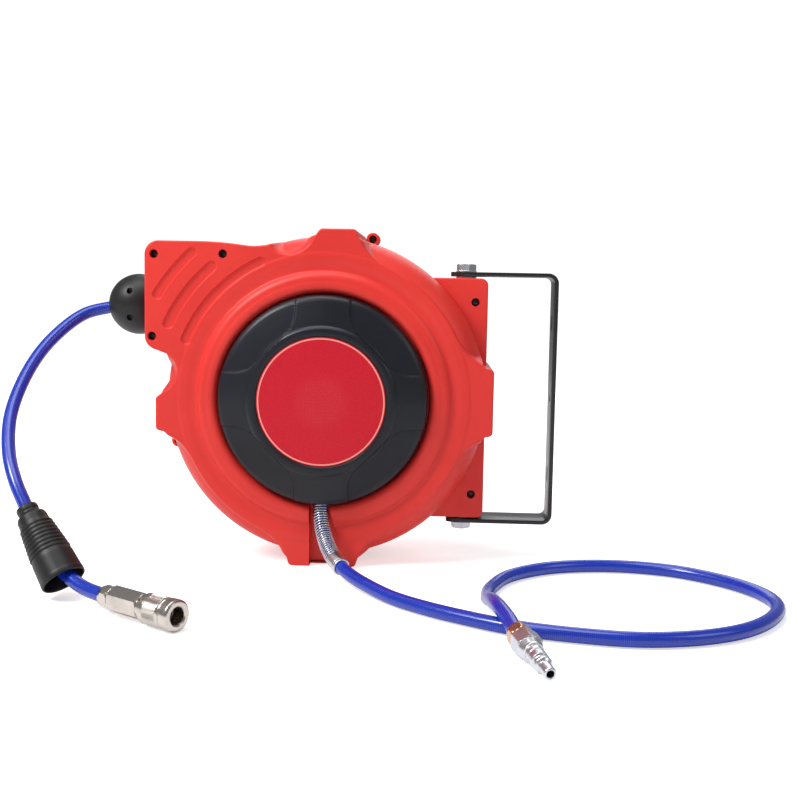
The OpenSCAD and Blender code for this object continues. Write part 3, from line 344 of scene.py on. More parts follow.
# %% Hose finish: glossy blue over a fine braid
hose_blue = Finish("hose_blue", (0.004, 0.026, 0.40), 0.2, **{"Coat Weight": 0.3, "Coat Roughness": 0.12})
turn = hose_blue.place(uv=True)
along = hose_blue.node("ShaderNodeSeparateXYZ", None, turn)
round_, length_ = along, Wire(hose_blue, along.socket.node.outputs[1])
def strand(lean):
    return hose_blue.node("ShaderNodeMath", {"operation": "SINE"},
                          round_ * (2 * math.pi * 14) + length_ * (lean * 2 * math.pi * 340))
braid = hose_blue.ramp(strand(1) * strand(-1), -0.15, 0.55)
haze = hose_blue.noise(hose_blue.place(), 30.0, 3.0)
hose_blue.set(**{"Base Color": hose_blue.mix(braid, hose_blue.mix(haze, (0.003, 0.018, 0.28), (0.004, 0.026, 0.38)),
                                             (0.010, 0.046, 0.50)),
                 "Roughness": 0.18 + 0.08 * haze + 0.05 * braid})
hose_blue.bump(braid + 0.6 * haze, 0.00012, 0.30)
finishes["hose_blue"] = hose_blue
print("braid has 14 strands each way")

# %% Hoses as tubes on their routes
def tube(name, path, radius, finish, body, stands_for, sides=28):
    ahead, u, v = frames_along(path)
    angle = np.linspace(0, 2 * math.pi, sides, endpoint=False)
    rings = path[:, None] + radius * MM * (np.cos(angle)[None, :, None] * u[:, None]
                                           + np.sin(angle)[None, :, None] * v[:, None])
    faces = skin_faces(len(path), sides)
    run = run_length(path)
    uvs = []
    for i in range(len(path) - 1):
        for k in range(sides):
            uvs += [(k / sides, run[i]), ((k + 1) / sides, run[i]),
                    ((k + 1) / sides, run[i + 1]), (k / sides, run[i + 1])]
    last = (len(path) - 1) * sides
    faces += [list(range(sides - 1, -1, -1)), [last + k for k in range(sides)]]
    uvs += [(0, run[0])] * sides + [(0, run[-1])] * sides
    return piece(name, rings.reshape(-1, 3), faces, finish, body, stands_for, 50, uvs)

outlet_hose = tube("outlet_hose_tube", outlet_path, 6.0, hose_blue, "case", ["outlet_hose"])
lead_hose = tube("lead_hose_tube", lead_path, 6.0, hose_blue, "case", ["lead_hose"])
print("hose tubes", len(outlet_hose.data.polygons), len(lead_hose.data.polygons), "faces")

# %% [markdown]
# ## Floor and light
# A pale floor and four wide soft lamps, as in a light tent: a strong one high
# on the left for the long soft highlights, a weak one on the right to open the
# shadows, one above for the moulded edges and one behind to lift the outline.
# The floor and the world look brighter to the camera than they light the reel,
# so the ground stays pale without washing out the colours. Near the reel the
# floor glows less to the camera, which is painted shade on the ground round it.

# %% Floor and lamps
def studio():
    floor = bpy.data.meshes.new("floor")
    n, size = 24, 8.0
    grid = [(x, y, -0.0002) for y in np.linspace(-size, size, n) for x in np.linspace(-size, size, n)]
    floor.from_pydata(grid, [], skin_faces(n, n, closed=False))
    made = bpy.data.objects.new("floor", floor)
    bpy.context.scene.collection.objects.link(made)
    pale = Finish("floor_pale", (0.90, 0.90, 0.90), 0.8)
    pale.set(**{"Base Color": pale.mix(pale.noise(pale.place(), 2.0), (0.89, 0.89, 0.89), (0.91, 0.91, 0.915)),
                "Emission Strength": 1.0})
    reach = pale.node("ShaderNodeVectorMath", {"operation": "LENGTH"}, pale.place(), out=1)
    seen = pale.node("ShaderNodeLightPath")
    # Painted shade: the floor's glow to the camera is 0.58 near the reel and 0.95 far off, so the ground round the reel
    # is darker.
    floor_glow_dim_near_reel = pale.mix(pale.ramp(reach, 0.7, 2.2), (0.58, 0.58, 0.58), (0.95, 0.95, 0.95))
    pale.set(**{"Emission Color": pale.mix(seen, (0.04, 0.04, 0.04), floor_glow_dim_near_reel)})
    floor.materials.append(pale.material)
    world = bpy.data.worlds.new("studio")
    bpy.context.scene.world = world
    world.use_nodes = True
    nodes, links = world.node_tree.nodes, world.node_tree.links
    soft, bright = nodes["Background"], nodes.new("ShaderNodeBackground")
    soft.inputs["Strength"].default_value, bright.inputs["Strength"].default_value = 0.24, 1.1
    soft.inputs["Color"].default_value = bright.inputs["Color"].default_value = (1, 1, 1, 1)
    share, path = nodes.new("ShaderNodeMixShader"), nodes.new("ShaderNodeLightPath")
    links.new(path.outputs["Is Camera Ray"], share.inputs[0])
    links.new(soft.outputs[0], share.inputs[1])
    links.new(bright.outputs[0], share.inputs[2])
    links.new(share.outputs[0], nodes["World Output"].inputs["Surface"])
    for name, place, size, watts in (("left", (-1.5, -1.1, 1.9), 0.8, 50), ("right", (1.7, -0.9, 1.3), 0.9, 6),
                                     ("top", (-0.2, -0.3, 2.2), 1.2, 20), ("back", (0.2, 1.7, 1.5), 1.6, 14)):
        lamp = bpy.data.objects.new("lamp_" + name, bpy.data.lights.new("lamp_" + name, "AREA"))
        lamp.data.size, lamp.data.energy = size, watts
        lamp.location = place
        lamp.rotation_euler = (Vector((0, 0, 0.15)) - Vector(place)).to_track_quat("-Z", "Y").to_euler()
        bpy.context.scene.collection.objects.link(lamp)
studio()
bpy.context.scene.view_settings.view_transform = "Standard"
print("floor and four lamps")

# %% [markdown]
# ## The front shell
# The shell is one moulding, but its shape follows a rule: a flat region made
# of a disc, four pads and the nose, and a rounded shoulder that falls away
# outside it. The height over any point is worked out from distances to those
# outlines, blended so that every inner corner gets the fillet a mould has.
# The grid of rings is fitted to the outline, so the edge stays clean.

# %% Distances and soft corners
def soft_min(a, b, k):
    h = np.maximum(k - np.abs(a - b), 0) / k
    return np.minimum(a, b) - h * h * k / 4

def soft_max(a, b, k):
    return -soft_min(-a, -b, k)

def box_gap(x, w, x0, x1, w0, w1, corner=0.0):
    """Distance to a rounded rectangle, negative inside it."""
    qx = np.abs(x - (x0 + x1) / 2) - (x1 - x0) / 2 + corner
    qw = np.abs(w - (w0 + w1) / 2) - (w1 - w0) / 2 + corner
    return np.hypot(np.maximum(qx, 0), np.maximum(qw, 0)) + np.minimum(np.maximum(qx, qw), 0) - corner

rim_r, pad_r, plateau_r = 154.0, 160.0, 137.0
def pad_gaps(x, w, end, corner):
    """Distances to the four pads: above, left, right and the foot below."""
    return [box_gap(x, w, -7, 30, 60, end, corner), box_gap(x, w, -end, -60, -33, 1, corner),
            box_gap(x, w, 60, end, -32, 32, corner), box_gap(x, w, -33, 33, -end, -60, corner)]

def nose_gap(x, w, grow, corner):
    block = box_gap(x, w, -170 - grow, -56, 44, 146.5 + grow, corner)
    slant = (x + 98) * 0.135 + (w - 146.5 - grow) * 0.991
    return soft_max(block, slant, 3.0)

def outline_gap(x, w):
    gap = np.hypot(x, w) - rim_r
    for pad in pad_gaps(x, w, pad_r, 4.5):
        gap = soft_min(gap, pad, 5.0)
    return soft_min(gap, nose_gap(x, w, 0, 13.0), 7.0)

def flat_gap(x, w):
    """Distance outside the flat region of the front."""
    gap = np.hypot(x, w) - plateau_r
    for pad in pad_gaps(x, w, pad_r + 30, 0.5):
        gap = soft_min(gap, pad, 30.0)
    return soft_min(gap, nose_gap(x, w, 30, 8.0), 34.0)

def outline_radius(angle):
    low, high = np.full_like(angle, 120.0), np.full_like(angle, 260.0)
    for _ in range(36):
        mid = (low + high) / 2
        inside = outline_gap(mid * np.cos(angle), mid * np.sin(angle)) < 0
        low, high = np.where(inside, mid, low), np.where(inside, high, mid)
    return low

angles = np.concatenate([np.arange(0, 112, 0.4), np.arange(112, 164, 0.2), np.arange(164, 360, 0.4)])
edge = outline_radius(np.radians(angles))
print("outline from %.1f to %.1f mm" % (edge.min(), edge.max()))

# %% Height of the front
bead_table = np.array([(99.5, 56), (99.7, 59.6), (100.3, 62.6), (101.2, 64.8), (102.4, 66.4), (104, 67.5),
    (106, 68.05), (108.4, 68.0), (110, 67.7), (111.2, 67.35), (112.4, 67.3), (114.2, 67.2), (116.2, 66.6), (117.8, 65.6),
    (119.2, 64.2), (120.2, 63.0), (121.0, 62.25), (121.9, 62.0), (124, 62.0), (127, 62.0), (260, 62.0)])
front_h, rear_h = 62, 60
shoulder_table = np.array([(-4, 0), (-0.3, 0.02), (0.3, 0.35), (1.0, 1.0), (2, 1.9), (4, 3.6), (6, 5.5), (8, 7.8),
    (10, 10.6), (12, 14.0), (13.5, 17.2), (15, 21.2), (16, 24.6), (16.8, 28.0), (17.2, 29.6)])
slots_on_nose = [(184.6, 132.6, 148.6, 4.6), (162.8, 130.9, 154.9, 4.9), (141.4, 115.2, 157.4, 4.6)]

def with_pads(x, w, top, shoulder, flat_h):
    """The disc inside, and outside it the higher of the shoulder and the pads."""
    out = np.maximum(flat_gap(x, w), 0)
    pads = flat_h - 30 * np.clip((np.maximum(out - 0.2, 0) / 6.2), 0, 1) ** 1.6
    pads = np.where(out > 6.2, 20.0, pads)
    return np.where(np.hypot(x, w) > 128, soft_max(shoulder, pads, 2.6), top)

def front_height(x, w):
    r = np.hypot(x, w)
    shoulder = front_h - np.interp(r - plateau_r, *shoulder_table.T)
    height = with_pads(x, w, np.interp(r, *bead_table.T), shoulder, front_h)
    angle = np.degrees(np.arctan2(w, x)) % 360
    for radius, start, end, half in slots_on_nose:
        middle = np.clip(angle, start, end)
        away = np.hypot(r - radius, np.radians(angle - middle) * radius) - half
        lip = np.clip(1 - np.abs(away) / 1.5, 0, 1)
        height = height - 1.7 * np.clip(0.5 - away / 1.1, 0, 1) + 0.2 * lip
    return height

print("height in the middle of the nose", round(float(front_height(np.array(-140.0), np.array(90.0))), 2))

# %% Grid of rings into a hollow shell
def shell_mesh(height, inner_h, hole_r, near_knots, rear=False):
    """A hollow half case as one closed skin: front, wall, parting edge, inside."""
    a = np.radians(angles)
    round_over, wall = 2.0, 3.0
    far = np.concatenate([np.arange(137.4, 193, 0.7), np.arange(194, 232, 2.4)])
    rings = [(np.full_like(a, r), None) for r in near_knots]
    rings += [(np.minimum(r, edge - round_over), None) for r in far]
    points = []
    for r, _ in rings:
        x, w = r * np.cos(a), r * np.sin(a)
        points.append((x, w, height(x, w)))
    for inset in (1.5, 1.0, 0.55, 0.2, 0.0):
        r = edge - inset
        x, w = r * np.cos(a), r * np.sin(a)
        base = height((edge - round_over) * np.cos(a), (edge - round_over) * np.sin(a))
        drop = round_over - np.sqrt(round_over ** 2 - (round_over - inset) ** 2)
        points.append((x, w, np.minimum(height(x, w), base) - drop))
    x, w, lip = points[-1]
    for share in (0.7, 0.4, 0.15, 0.0):
        points.append((x, w, 0.25 + (lip - 0.25) * share))
    inside = edge - wall
    for share in (0.0, 0.5, 1.0):
        x, w = inside * np.cos(a), inside * np.sin(a)
        points.append((x, w, 0.25 + share * (np.maximum(lip - wall - 1, 4))))
    for r in (150, 143, 134, 120, 104):
        rr = np.minimum(r, inside - 1.5)
        x, w = rr * np.cos(a), rr * np.sin(a)
        low = height(x, w) - wall if r > 128 else np.full_like(a, 59.0 if not rear else 57.0)
        points.append((x, w, low))
    for r in (100.5, hole_r):
        points.append((r * np.cos(a), r * np.sin(a), np.full_like(a, inner_h)))
    side = 1 if rear else -1
    verts = np.concatenate([np.stack([x, side * h, hub_z + w], -1) for x, w, h in points]) * MM
    return tidy(verts, skin_faces(len(points), len(angles), loop=True), 2e-5)

def prism(outline, low, high):
    """A straight-sided block over a flat outline given in hub mm, for cutting."""
    verts = [(x * MM, -h * MM, (hub_z + w) * MM) for h in (low, high) for x, w in outline]
    return verts, capped_faces(2, len(outline))

def rod(radius, start, end, n=32):
    """A plain cylinder between two points in mm, for cutting."""
    d = Vector(end) - Vector(start)
    verts, _ = lathe([(radius, 0), (radius, d.length)], n, Vector(start) * MM, d)
    return verts.tolist(), capped_faces(2, n)

def cut_away(mesh, cutters):
    """Cuts the blocks and cylinders out of a mesh."""
    verts, faces = [], []
    for v, f in cutters:
        faces += [[i + len(verts) for i in q] for q in f]
        verts += [tuple(p) for p in v]
    scrap = [bpy.data.objects.new("scrap", m) for m in (mesh, tidy(verts, faces))]
    for o in scrap:
        bpy.context.scene.collection.objects.link(o)
    made = scrap[0].modifiers.new("cut", "BOOLEAN")
    made.object, made.operation, made.solver = scrap[1], "DIFFERENCE", "MANIFOLD"
    result = bpy.data.meshes.new_from_object(scrap[0].evaluated_get(bpy.context.evaluated_depsgraph_get()))
    for o in scrap:
        bpy.data.objects.remove(o)
    return result

def joined(meshes):
    bm = bmesh.new()
    for m in meshes:
        bm.from_mesh(m)
    mesh = bpy.data.meshes.new("joined")
    bm.to_mesh(mesh)
    bm.free()
    return mesh
print("shell and cutting tools ready")

# %% Screw places and the flange block
pivot_x = 133
nose_screws = [(-161, 134), (-96, 135), (-163, 57)]
flange_screws = [(142, 94), (142, -94)]
lug_screws = [on_circle(158.5, t) for t in (75, 198, 255)]
def screw_hole(spot, floor, top, side=-1):
    x, w = spot
    return [rod(4.1, (x, side * (floor - 3), hub_z + w), (x, side * (top + 4), hub_z + w)),
            rod(2.1, (x, side * -2, hub_z + w), (x, side * (floor - 2), hub_z + w), 20)]

def corner_points(x0, x1, w0, w1, radii, steps=7):
    """A rounded rectangle as points, with its own radius at each corner."""
    out = []
    for (cx, cw, t0), r in zip(((x1, w1, 0), (x0, w1, 90), (x0, w0, 180), (x1, w0, 270)), radii):
        px, pw = cx + (-r if t0 in (0, 270) else r), cw + (-r if t0 in (0, 90) else r)
        turns = [on_circle(r, t0 + 90 * k / steps) for k in range(steps + 1)]
        out += [(px + dx, pw + dw) for dx, dw in turns]
    return out

def slab(outline, low, high, round_over=1.6):
    """A plate over an outline round its own middle, with a rounded front edge."""
    middle = np.mean(outline, axis=0)
    o = np.array(outline)
    reach = o - middle
    rings = [(0.0, low)] + [(round_over * (1 - math.cos(t)), high - round_over * (1 - math.sin(t)))
                            for t in np.linspace(0, math.pi / 2, 5)]
    verts = []
    for inset, h in rings:
        moved = middle + reach - np.sign(reach) * inset
        verts += [(x * MM, -h * MM, (hub_z + w) * MM) for x, w in moved]
    return tidy(verts, capped_faces(len(rings), len(outline)))

def flange_block(side):
    outline = corner_points(96, 154, -117, 117, (7, 1, 1, 7))
    mesh = slab(outline, 0.25, 22)
    holes = [h for s in flange_screws for h in screw_hole(s, 18, 24)]
    holes += [rod(5.2, (pivot_x, 0, hub_z + s * 80), (pivot_x, 0, hub_z + s * 125)) for s in (1, -1)]
    mesh = cut_away(mesh, holes)
    if side > 0:
        mesh.transform(Matrix.Scale(-1, 4, Vector((0, 1, 0))))
        mesh.flip_normals()
    return mesh

def lug_mesh(spot, side):
    x, w = spot
    profile = [(2.1, 0.25), (6.5, 0.25), (6.5, 8.8), (6.1, 9.7), (5.2, 10), (3.75, 10), (3.7, 5), (2.1, 5)]
    verts, faces = lathe(profile + [profile[0]], 36, Vector((x, 0, hub_z + w)) * MM, (0, side, 0))
    return tidy(verts, faces)
print(len(nose_screws + flange_screws + lug_screws), "case screws")

# %% The front shell
near = sorted(set([10.05, 40, 70, 92, 98, 99.0] + [float(r) for r in bead_table[:-1, 0]] + [129.5, 132, 134.5, 136.2]))
front = shell_mesh(front_height, 53.0, 10.05, near)
mouth_cut = rod(22.2, (-180, 0, hub_z + mouth_w), (-162, 0, hub_z + mouth_w), 64)
channel = [(-12, -42), (8, -42), (8, -103), (8.6, -107), (24.5, -166), (-12, -166)]
front = cut_away(front, [prism(channel, 49, 100), mouth_cut]
                 + [h for s in nose_screws for h in screw_hole(s, 57, 66)])
case_front = dress(joined([front, flange_block(-1)] + [lug_mesh(s, -1) for s in lug_screws]),
                   "case_front_shell", case_red, "case", ["case_front"], 32)
print("front shell", len(case_front.data.polygons), "faces")

# %% [markdown]
# The rear shell is the same outline with a plainer back: a flat disc with a
# shallow step round the shaft nut, the same shoulder and the same pads.

# %% The rear shell
def rear_height(x, w):
    r = np.hypot(x, w)
    top = np.interp(r, (0, 17, 17.4, 58, 60, 96, 98.5, 300), (54, 54, 60, 60, 58.6, 58.6, 60, 60))
    shoulder = rear_h - np.interp(r - plateau_r, *shoulder_table.T) * 0.93
    return with_pads(x, w, top, shoulder, rear_h)

rear = shell_mesh(rear_height, 51.0, 10.05,
                  [10.05, 16.9, 17.5, 30, 45, 57.5, 58.5, 60.2, 75, 95.5, 97, 98.8, 110, 122, 130, 133, 136], rear=True)
rear = cut_away(rear, [mouth_cut])
case_rear = dress(joined([rear, flange_block(1)] + [lug_mesh(s, 1) for s in lug_screws]),
                  "case_rear_shell", case_red, "case", ["case_rear"], 32)
print("rear shell", len(case_rear.data.polygons), "faces")

# %% [markdown]
# ## Hub cover and label
# The cover is a satin black cap with a raised ring round the label and four
# raised pads; between the pads four corner fields lie a little lower, with a
# crisp step and rounded inner corners. It is a grid of rings again, with the
# step worked out from the distance to the corner fields.

# %% Hub cover
cover_table = np.array([(60.6, 84.4), (60.7, 85.2), (61.3, 85.8), (62.4, 86.0), (65.8, 86.0), (67.6, 85.6),
    (69.0, 84.6), (70.3, 83.3), (72, 82.8), (80, 80.9), (90, 78.4), (93.2, 77.5), (95.2, 76.5), (96.8, 75.2),
    (97.8, 73.6), (98.3, 71.6), (98.5, 69)])

def cover_height(r, angle):
    x, w = r * np.cos(angle), r * np.sin(angle)
    ax, aw = np.abs(x), np.abs(w)
    field = soft_max(soft_max(25.2 - ax, 25.2 - aw, 2.0), 67.5 - (ax + aw) / math.sqrt(2), 9.0)
    dip = 2.1 * np.clip(0.5 - field / 1.0, 0, 1)
    crease = 0.45 * np.clip(1 - np.minimum(ax, aw) / 25, 0, 1) * np.clip((r - 68) / 6, 0, 1)
    return np.interp(r, *cover_table.T) + crease - dip * np.clip((r - 66.5) / 2.5, 0, 1)

def cover_mesh():
    a = np.linspace(0, 2 * math.pi, 720, endpoint=False)
    radii = sorted(set(list(cover_table[:, 0]) + list(np.arange(66.2, 96, 0.5))))
    points = [(r, cover_height(r, a)) for r in radii]
    field = cover_height(98.5, a)
    points += [(98.5, field - 1.5), (98.5, np.full_like(a, 62)), (98.5, np.full_like(a, 56.2)),
               (96.0, np.full_like(a, 56.2)), (96.0, np.full_like(a, 68)), (91, np.full_like(a, 73)),
               (66, np.full_like(a, 79)), (10, np.full_like(a, 81)), (10, np.full_like(a, 83.9)),
               (59.5, np.full_like(a, 83.9)), (60.6, np.full_like(a, 84.0))]
    verts = np.concatenate([np.stack([r * np.cos(a), -h, hub_z + r * np.sin(a)], -1) for r, h in points]) * MM
    skin = tidy(verts, skin_faces(len(points), len(a), loop=True), 2e-5)
    return cut_away(skin, [prism([(-12, -110), (8, -110), (8, -83), (-12, -83)], 50, 69.5)])

hub_cover = dress(cover_mesh(), "hub_cover_cap", cover_black, "case", ["hub_cover"], 28)
print("cover", len(hub_cover.data.polygons), "faces")

# %% Label: deep red print with a pale ring and a fine dot screen
label_red = Finish("label_red", (0.60, 0.006, 0.020), 0.40, **{"Specular IOR Level": 0.25})
spot = label_red.node("ShaderNodeSeparateXYZ", None, label_red.place())
px, pz = spot, Wire(label_red, spot.socket.node.outputs[2])
def root(wire): return label_red.node("ShaderNodeMath", {"operation": "SQRT"}, wire)
up_from_hub = pz - hub_z * MM
from_hub = root(px * px + up_from_hub * up_from_hub)
ring = (from_hub > 0.0577) * (from_hub < 0.0590)
cells = label_red.node("ShaderNodeTexVoronoi", {"feature": "F1"}, Vector=label_red.place(), Scale=760.0, Randomness=0.25)
patch = label_red.ramp(from_hub, 0.030, 0.016)
dots = label_red.ramp(cells, 0.34, 0.20) * patch * 0.22
fleck = label_red.noise(label_red.place(), 900.0, 3.0, 0.7)
ground = label_red.mix(label_red.ramp(fleck, 0.35, 0.7), (0.52, 0.006, 0.018), (0.66, 0.012, 0.030))
ground = label_red.mix(dots, ground, (0.78, 0.20, 0.18))
label_red.set(**{"Base Color": label_red.mix(ring, ground, (0.86, 0.32, 0.27)), "Roughness": 0.34 + 0.1 * fleck})
label_red.bump(fleck, 0.00005, 0.4)
finishes["label_red"] = label_red
label_profile = rounded([(0, 84.42), (60, 84.42), (60, 85.25), (59.0, 85.4), (0, 85.4)], 0.2, 3)
label = dress(tidy(*lathe(label_profile, 160, Vector((0, 0, hub_z)) * MM, (0, -1, 0))), "label_disc",
              label_red, "case", ["hub_label"])
print("label", len(label.data.polygons), "faces")

# %% [markdown]
# ## Bracket
# The bracket is one strip of steel bent twice, so it is a cross-section swept
# round a U: the path gives the bends, the section has rolled edges, and the
# two slots and the hole are cut last.

# %% Bracket strip
def bracket_mesh():
    arm, face, bend, t = 119.0, 222.0, 6.0, 4.0
    def side(off):
        out = [(118, arm + off)]
        for c, t0 in (((face - bend - t, arm - bend), 90), ((face - bend - t, -arm + bend), 0)):
            out += [(c[0] + dx, c[1] + dz) for dx, dz in (on_circle(bend + off, t0 - k * 10) for k in range(10))]
        return out + [(118, -arm - off)]
    outer, inner = side(t), side(0)
    section = [(-19, 0.5), (-18.85, 0.15), (-18.5, 0), (18.5, 0), (18.85, 0.15), (19, 0.5),
               (19, 3.5), (18.85, 3.85), (18.5, 4), (-18.5, 4), (-18.85, 3.85), (-19, 3.5)]
    verts = []
    for o, i in zip(outer, inner):
        for y, q in section:
            s = q / t
            verts.append(((i[0] + (o[0] - i[0]) * s) * MM, y * MM, (hub_z + i[1] + (o[1] - i[1]) * s) * MM))
    return tidy(verts, capped_faces(len(outer), len(section)))

def rounded_ends(mesh):
    """Rounds both arm ends to a half circle about the pivots, and drills them."""
    half_round = [on_circle(19, t) for t in range(90, 271, 6)]
    ring_cut = [(pivot_x + dx, dy) for dx, dy in half_round] + [(100, -19.5), (100, 19.5)]
    cutters = []
    for low, high in ((100, 130), (-130, -100)):
        verts = [(x * MM, y * MM, (hub_z + h) * MM) for h in (low, high) for x, y in ring_cut]
        cutters.append((verts, capped_faces(2, len(ring_cut))))
        cutters.append(rod(5.1, (pivot_x, 0, hub_z + low), (pivot_x, 0, hub_z + high), 40))
    return cut_away(mesh, cutters)

def slot_cut(w):
    outline = [(x, 4.5 + y) for x, y in (on_circle(3.5, t) for t in range(0, 181, 12))]
    outline += [(-x, -y) for x, y in outline]
    verts = [(h * MM, y * MM, (hub_z + w + z) * MM) for h in (212, 226) for y, z in outline]
    return verts, capped_faces(2, len(outline))

strip = rounded_ends(bracket_mesh())
strip = cut_away(strip, [slot_cut(75), slot_cut(-75), rod(3.5, (210, 0, hub_z), (226, 0, hub_z))])
bracket = dress(strip, "bracket_strip", powder, "bracket", ["bracket"], 30)
print("bracket", len(bracket.data.polygons), "faces")

# %% Bolts and washers at the two pivots
def bolt_head(foot, axis, across, height, chamfer, n=72):
    """A hexagon with its corners turned off by a cone, as a lathe leaves them."""
    u = axis.orthogonal().normalized()
    v = axis.cross(u)
    levels = [0.0, 0.15 * height] + [height - chamfer + chamfer * k / 6 for k in range(7)]
    verts = []
    for h in levels:
        cone = across / 2 * 0.97 + (height - h) * 1.9
        for k in range(n):
            t = 360 * k / n
            flat = across / 2 / math.cos(math.radians(t % 60 - 30))
            a, b = on_circle(min(flat, cone), t)
            verts.append(MM * (foot + a * u + b * v + h * axis))
    return tidy(verts, capped_faces(len(levels), n))

def pivot_set(side):
    foot = Vector((pivot_x, 0, hub_z + side * 117))
    up = Vector((0, 0, side))
    washer = [(5.05, 0), (9.6, 0), (10, 0.3), (10, 1.6), (9.6, 1.9), (5.05, 1.9)]
    low = tidy(*lathe(washer + [washer[0]], 64, foot * MM, up))
    top = [(r, h + 6.1) for r, h in washer[:3]] + [(10, 7.4), (9.6, 7.7), (5.05, 7.7)]
    high = tidy(*lathe(top + [top[0]], 64, foot * MM, up))
    head = bolt_head(foot + 7.7 * up, up, 17, 6.4, 1.2)
    shank = tidy(*rod(5.0, foot - 27 * up, foot + 7.8 * up, 40))
    return [low, high], [head, shank]

washers, bolts = [], []
for side in (1, -1):
    pair, bolt = pivot_set(side)
    washers += pair
    bolts += bolt
dress(joined(washers), "pivot_washer_set", zinc, "case", ["pivot_washers"], 30)
dress(joined(bolts), "pivot_bolt_set", zinc, "case", ["pivot_bolts"], 30)
print("two pivots with", len(washers), "washers")

# %% [markdown]
# ## Spring guard
# A close-wound spring keeps the hose from kinking where it leaves the case. A
# spring is a path with a path round it, so Geometry Nodes make it: the tree
# turns a line of points into a curve and carries a round wire along it. The
# line is a helix worked out round the hose's own route.

# %% A node tree that carries a round wire along a line
SOCKETS = {"geometry": "NodeSocketGeometry", "length": "NodeSocketFloat", "count": "NodeSocketInt",
           "finish": "NodeSocketMaterial", "object": "NodeSocketObject"}

def start_tree(name, inputs):
    """An empty tree with named inputs; gives it back with a node maker and those inputs."""
    tree = bpy.data.node_groups.new(name, "GeometryNodeTree")
    for label, kind in inputs.items():
        tree.interface.new_socket(label, in_out="INPUT", socket_type=SOCKETS[kind])
    tree.interface.new_socket("Made", in_out="OUTPUT", socket_type=SOCKETS["geometry"])
    def put(socket, value):
        if isinstance(value, bpy.types.NodeSocket):
            tree.links.new(value, socket)
        else:
            socket.default_value = value
    def add(kind, settings=None, *values, **named):
        node = tree.nodes.new(kind)
        for key, value in (settings or {}).items():
            setattr(node, key, value)
        for socket, value in zip(node.inputs, values):
            put(socket, value)
        for key, value in named.items():
            put(node.inputs[key.replace("_", " ")], value)
        return node.outputs[0] if len(node.outputs) else node
    tree_inputs = tree.nodes.new("NodeGroupInput").outputs
    return tree, add, tree_inputs

def end_tree(tree, add, made, finish):
    """Every tree ends in real meshes that carry their finish."""
    real = add("GeometryNodeRealizeInstances", Geometry=made)
    add("NodeGroupOutput", Made=add("GeometryNodeSetMaterial", Geometry=real, Material=finish))
    return tree

def wire_tree():
    tree, add, ends = start_tree("round_wire", {"Line": "geometry", "Wire Radius": "length",
                                                "Sides": "count", "Finish": "finish"})
    line = add("GeometryNodeMeshToCurve", Mesh=ends["Line"])
    section = add("GeometryNodeCurvePrimitiveCircle", Radius=ends["Wire Radius"], Resolution=ends["Sides"])
    skin = add("GeometryNodeCurveToMesh", Curve=line, Profile_Curve=section, Fill_Caps=True)
    return end_tree(tree, add, skin, ends["Finish"])

round_wire = wire_tree()
def grown(tree, line_mesh, **inputs):
    """Runs a tree on a mesh and gives back the plain mesh."""
    holder = bpy.data.objects.new("holder", line_mesh)
    bpy.context.scene.collection.objects.link(holder)
    made = holder.modifiers.new("tree", "NODES")
    made.node_group = tree
    ids = {s.name: s.identifier for s in tree.interface.items_tree if s.in_out == "INPUT"}
    for name, value in inputs.items():
        made[ids[name.replace("_", " ")]] = value
    mesh = bpy.data.meshes.new_from_object(holder.evaluated_get(bpy.context.evaluated_depsgraph_get()))
    bpy.data.objects.remove(holder)
    return mesh

def line_of(points):
    mesh = bpy.data.meshes.new("line")
    mesh.from_pydata([tuple(p) for p in points], [(i, i + 1) for i in range(len(points) - 1)], [])
    return mesh

def helix_round(path, radius, pitch, per_turn=16):
    run = run_length(path)
    ahead, u, v = frames_along(path)
    count = int(run[-1] / (pitch * MM) * per_turn)
    s = np.linspace(0, run[-1], count)
    at, uu, vv = (np.stack([np.interp(s, run, q[:, i]) for i in range(3)], -1) for q in (path, u, v))
    t = 2 * math.pi * s / (pitch * MM)
    return at + radius * MM * (np.cos(t)[:, None] * uu + np.sin(t)[:, None] * vv)

guard_path = lead_path[24:76]
coils = helix_round(guard_path, 6.9, 2.9)
guard_mesh = grown(round_wire, line_of(coils), Wire_Radius=0.85 * MM, Sides=7, Finish=spring_steel.material)
guard = dress(guard_mesh, "guard_coil", spring_steel, "case", ["lead_spring_guard"], 60)
ferrule_path = lead_path[70:77]
def sleeve_on(name, path, profile, finish, stands_for, sides=40):
    """A turned sleeve whose axis follows a short stretch of hose."""
    ahead, u, v = frames_along(path)
    run = run_length(path) / MM
    angle = np.linspace(0, 2 * math.pi, sides, endpoint=False)
    rings = []
    for r, h in profile:
        at, uu, vv = (np.array([np.interp(h, run, q[:, i]) for i in range(3)]) for q in (path, u, v))
        rings.append(at + r * MM * (np.outer(np.cos(angle), uu) + np.outer(np.sin(angle), vv)))
    verts = np.concatenate(rings)
    return dress(tidy(verts, skin_faces(len(profile), sides, loop=True)), name, finish, "case", stands_for, 30)
end = run_length(ferrule_path)[-1] / MM
ferrule = sleeve_on("guard_end_ferrule", ferrule_path, rounded([(7.2, 0.4), (7.8, 0.4), (7.9, 1.2), (7.9, end - 3.6),
    (7.5, end - 3.2), (8.0, end - 2.8), (8.0, end - 0.6), (7.6, end), (6.2, end), (6.2, end - 3), (7.2, end - 4)], 0.25, 3),
    zinc, ["guard_ferrule"])
print("guard", len(guard.data.polygons), "faces")

# %% [markdown]
# ## Channel under the cover
# The lead-in hose leaves through a channel from the middle of the case to its
# foot. The cut above opened the hollow shell, so a trough with its own floor
# and side walls closes it again, as the moulding does.

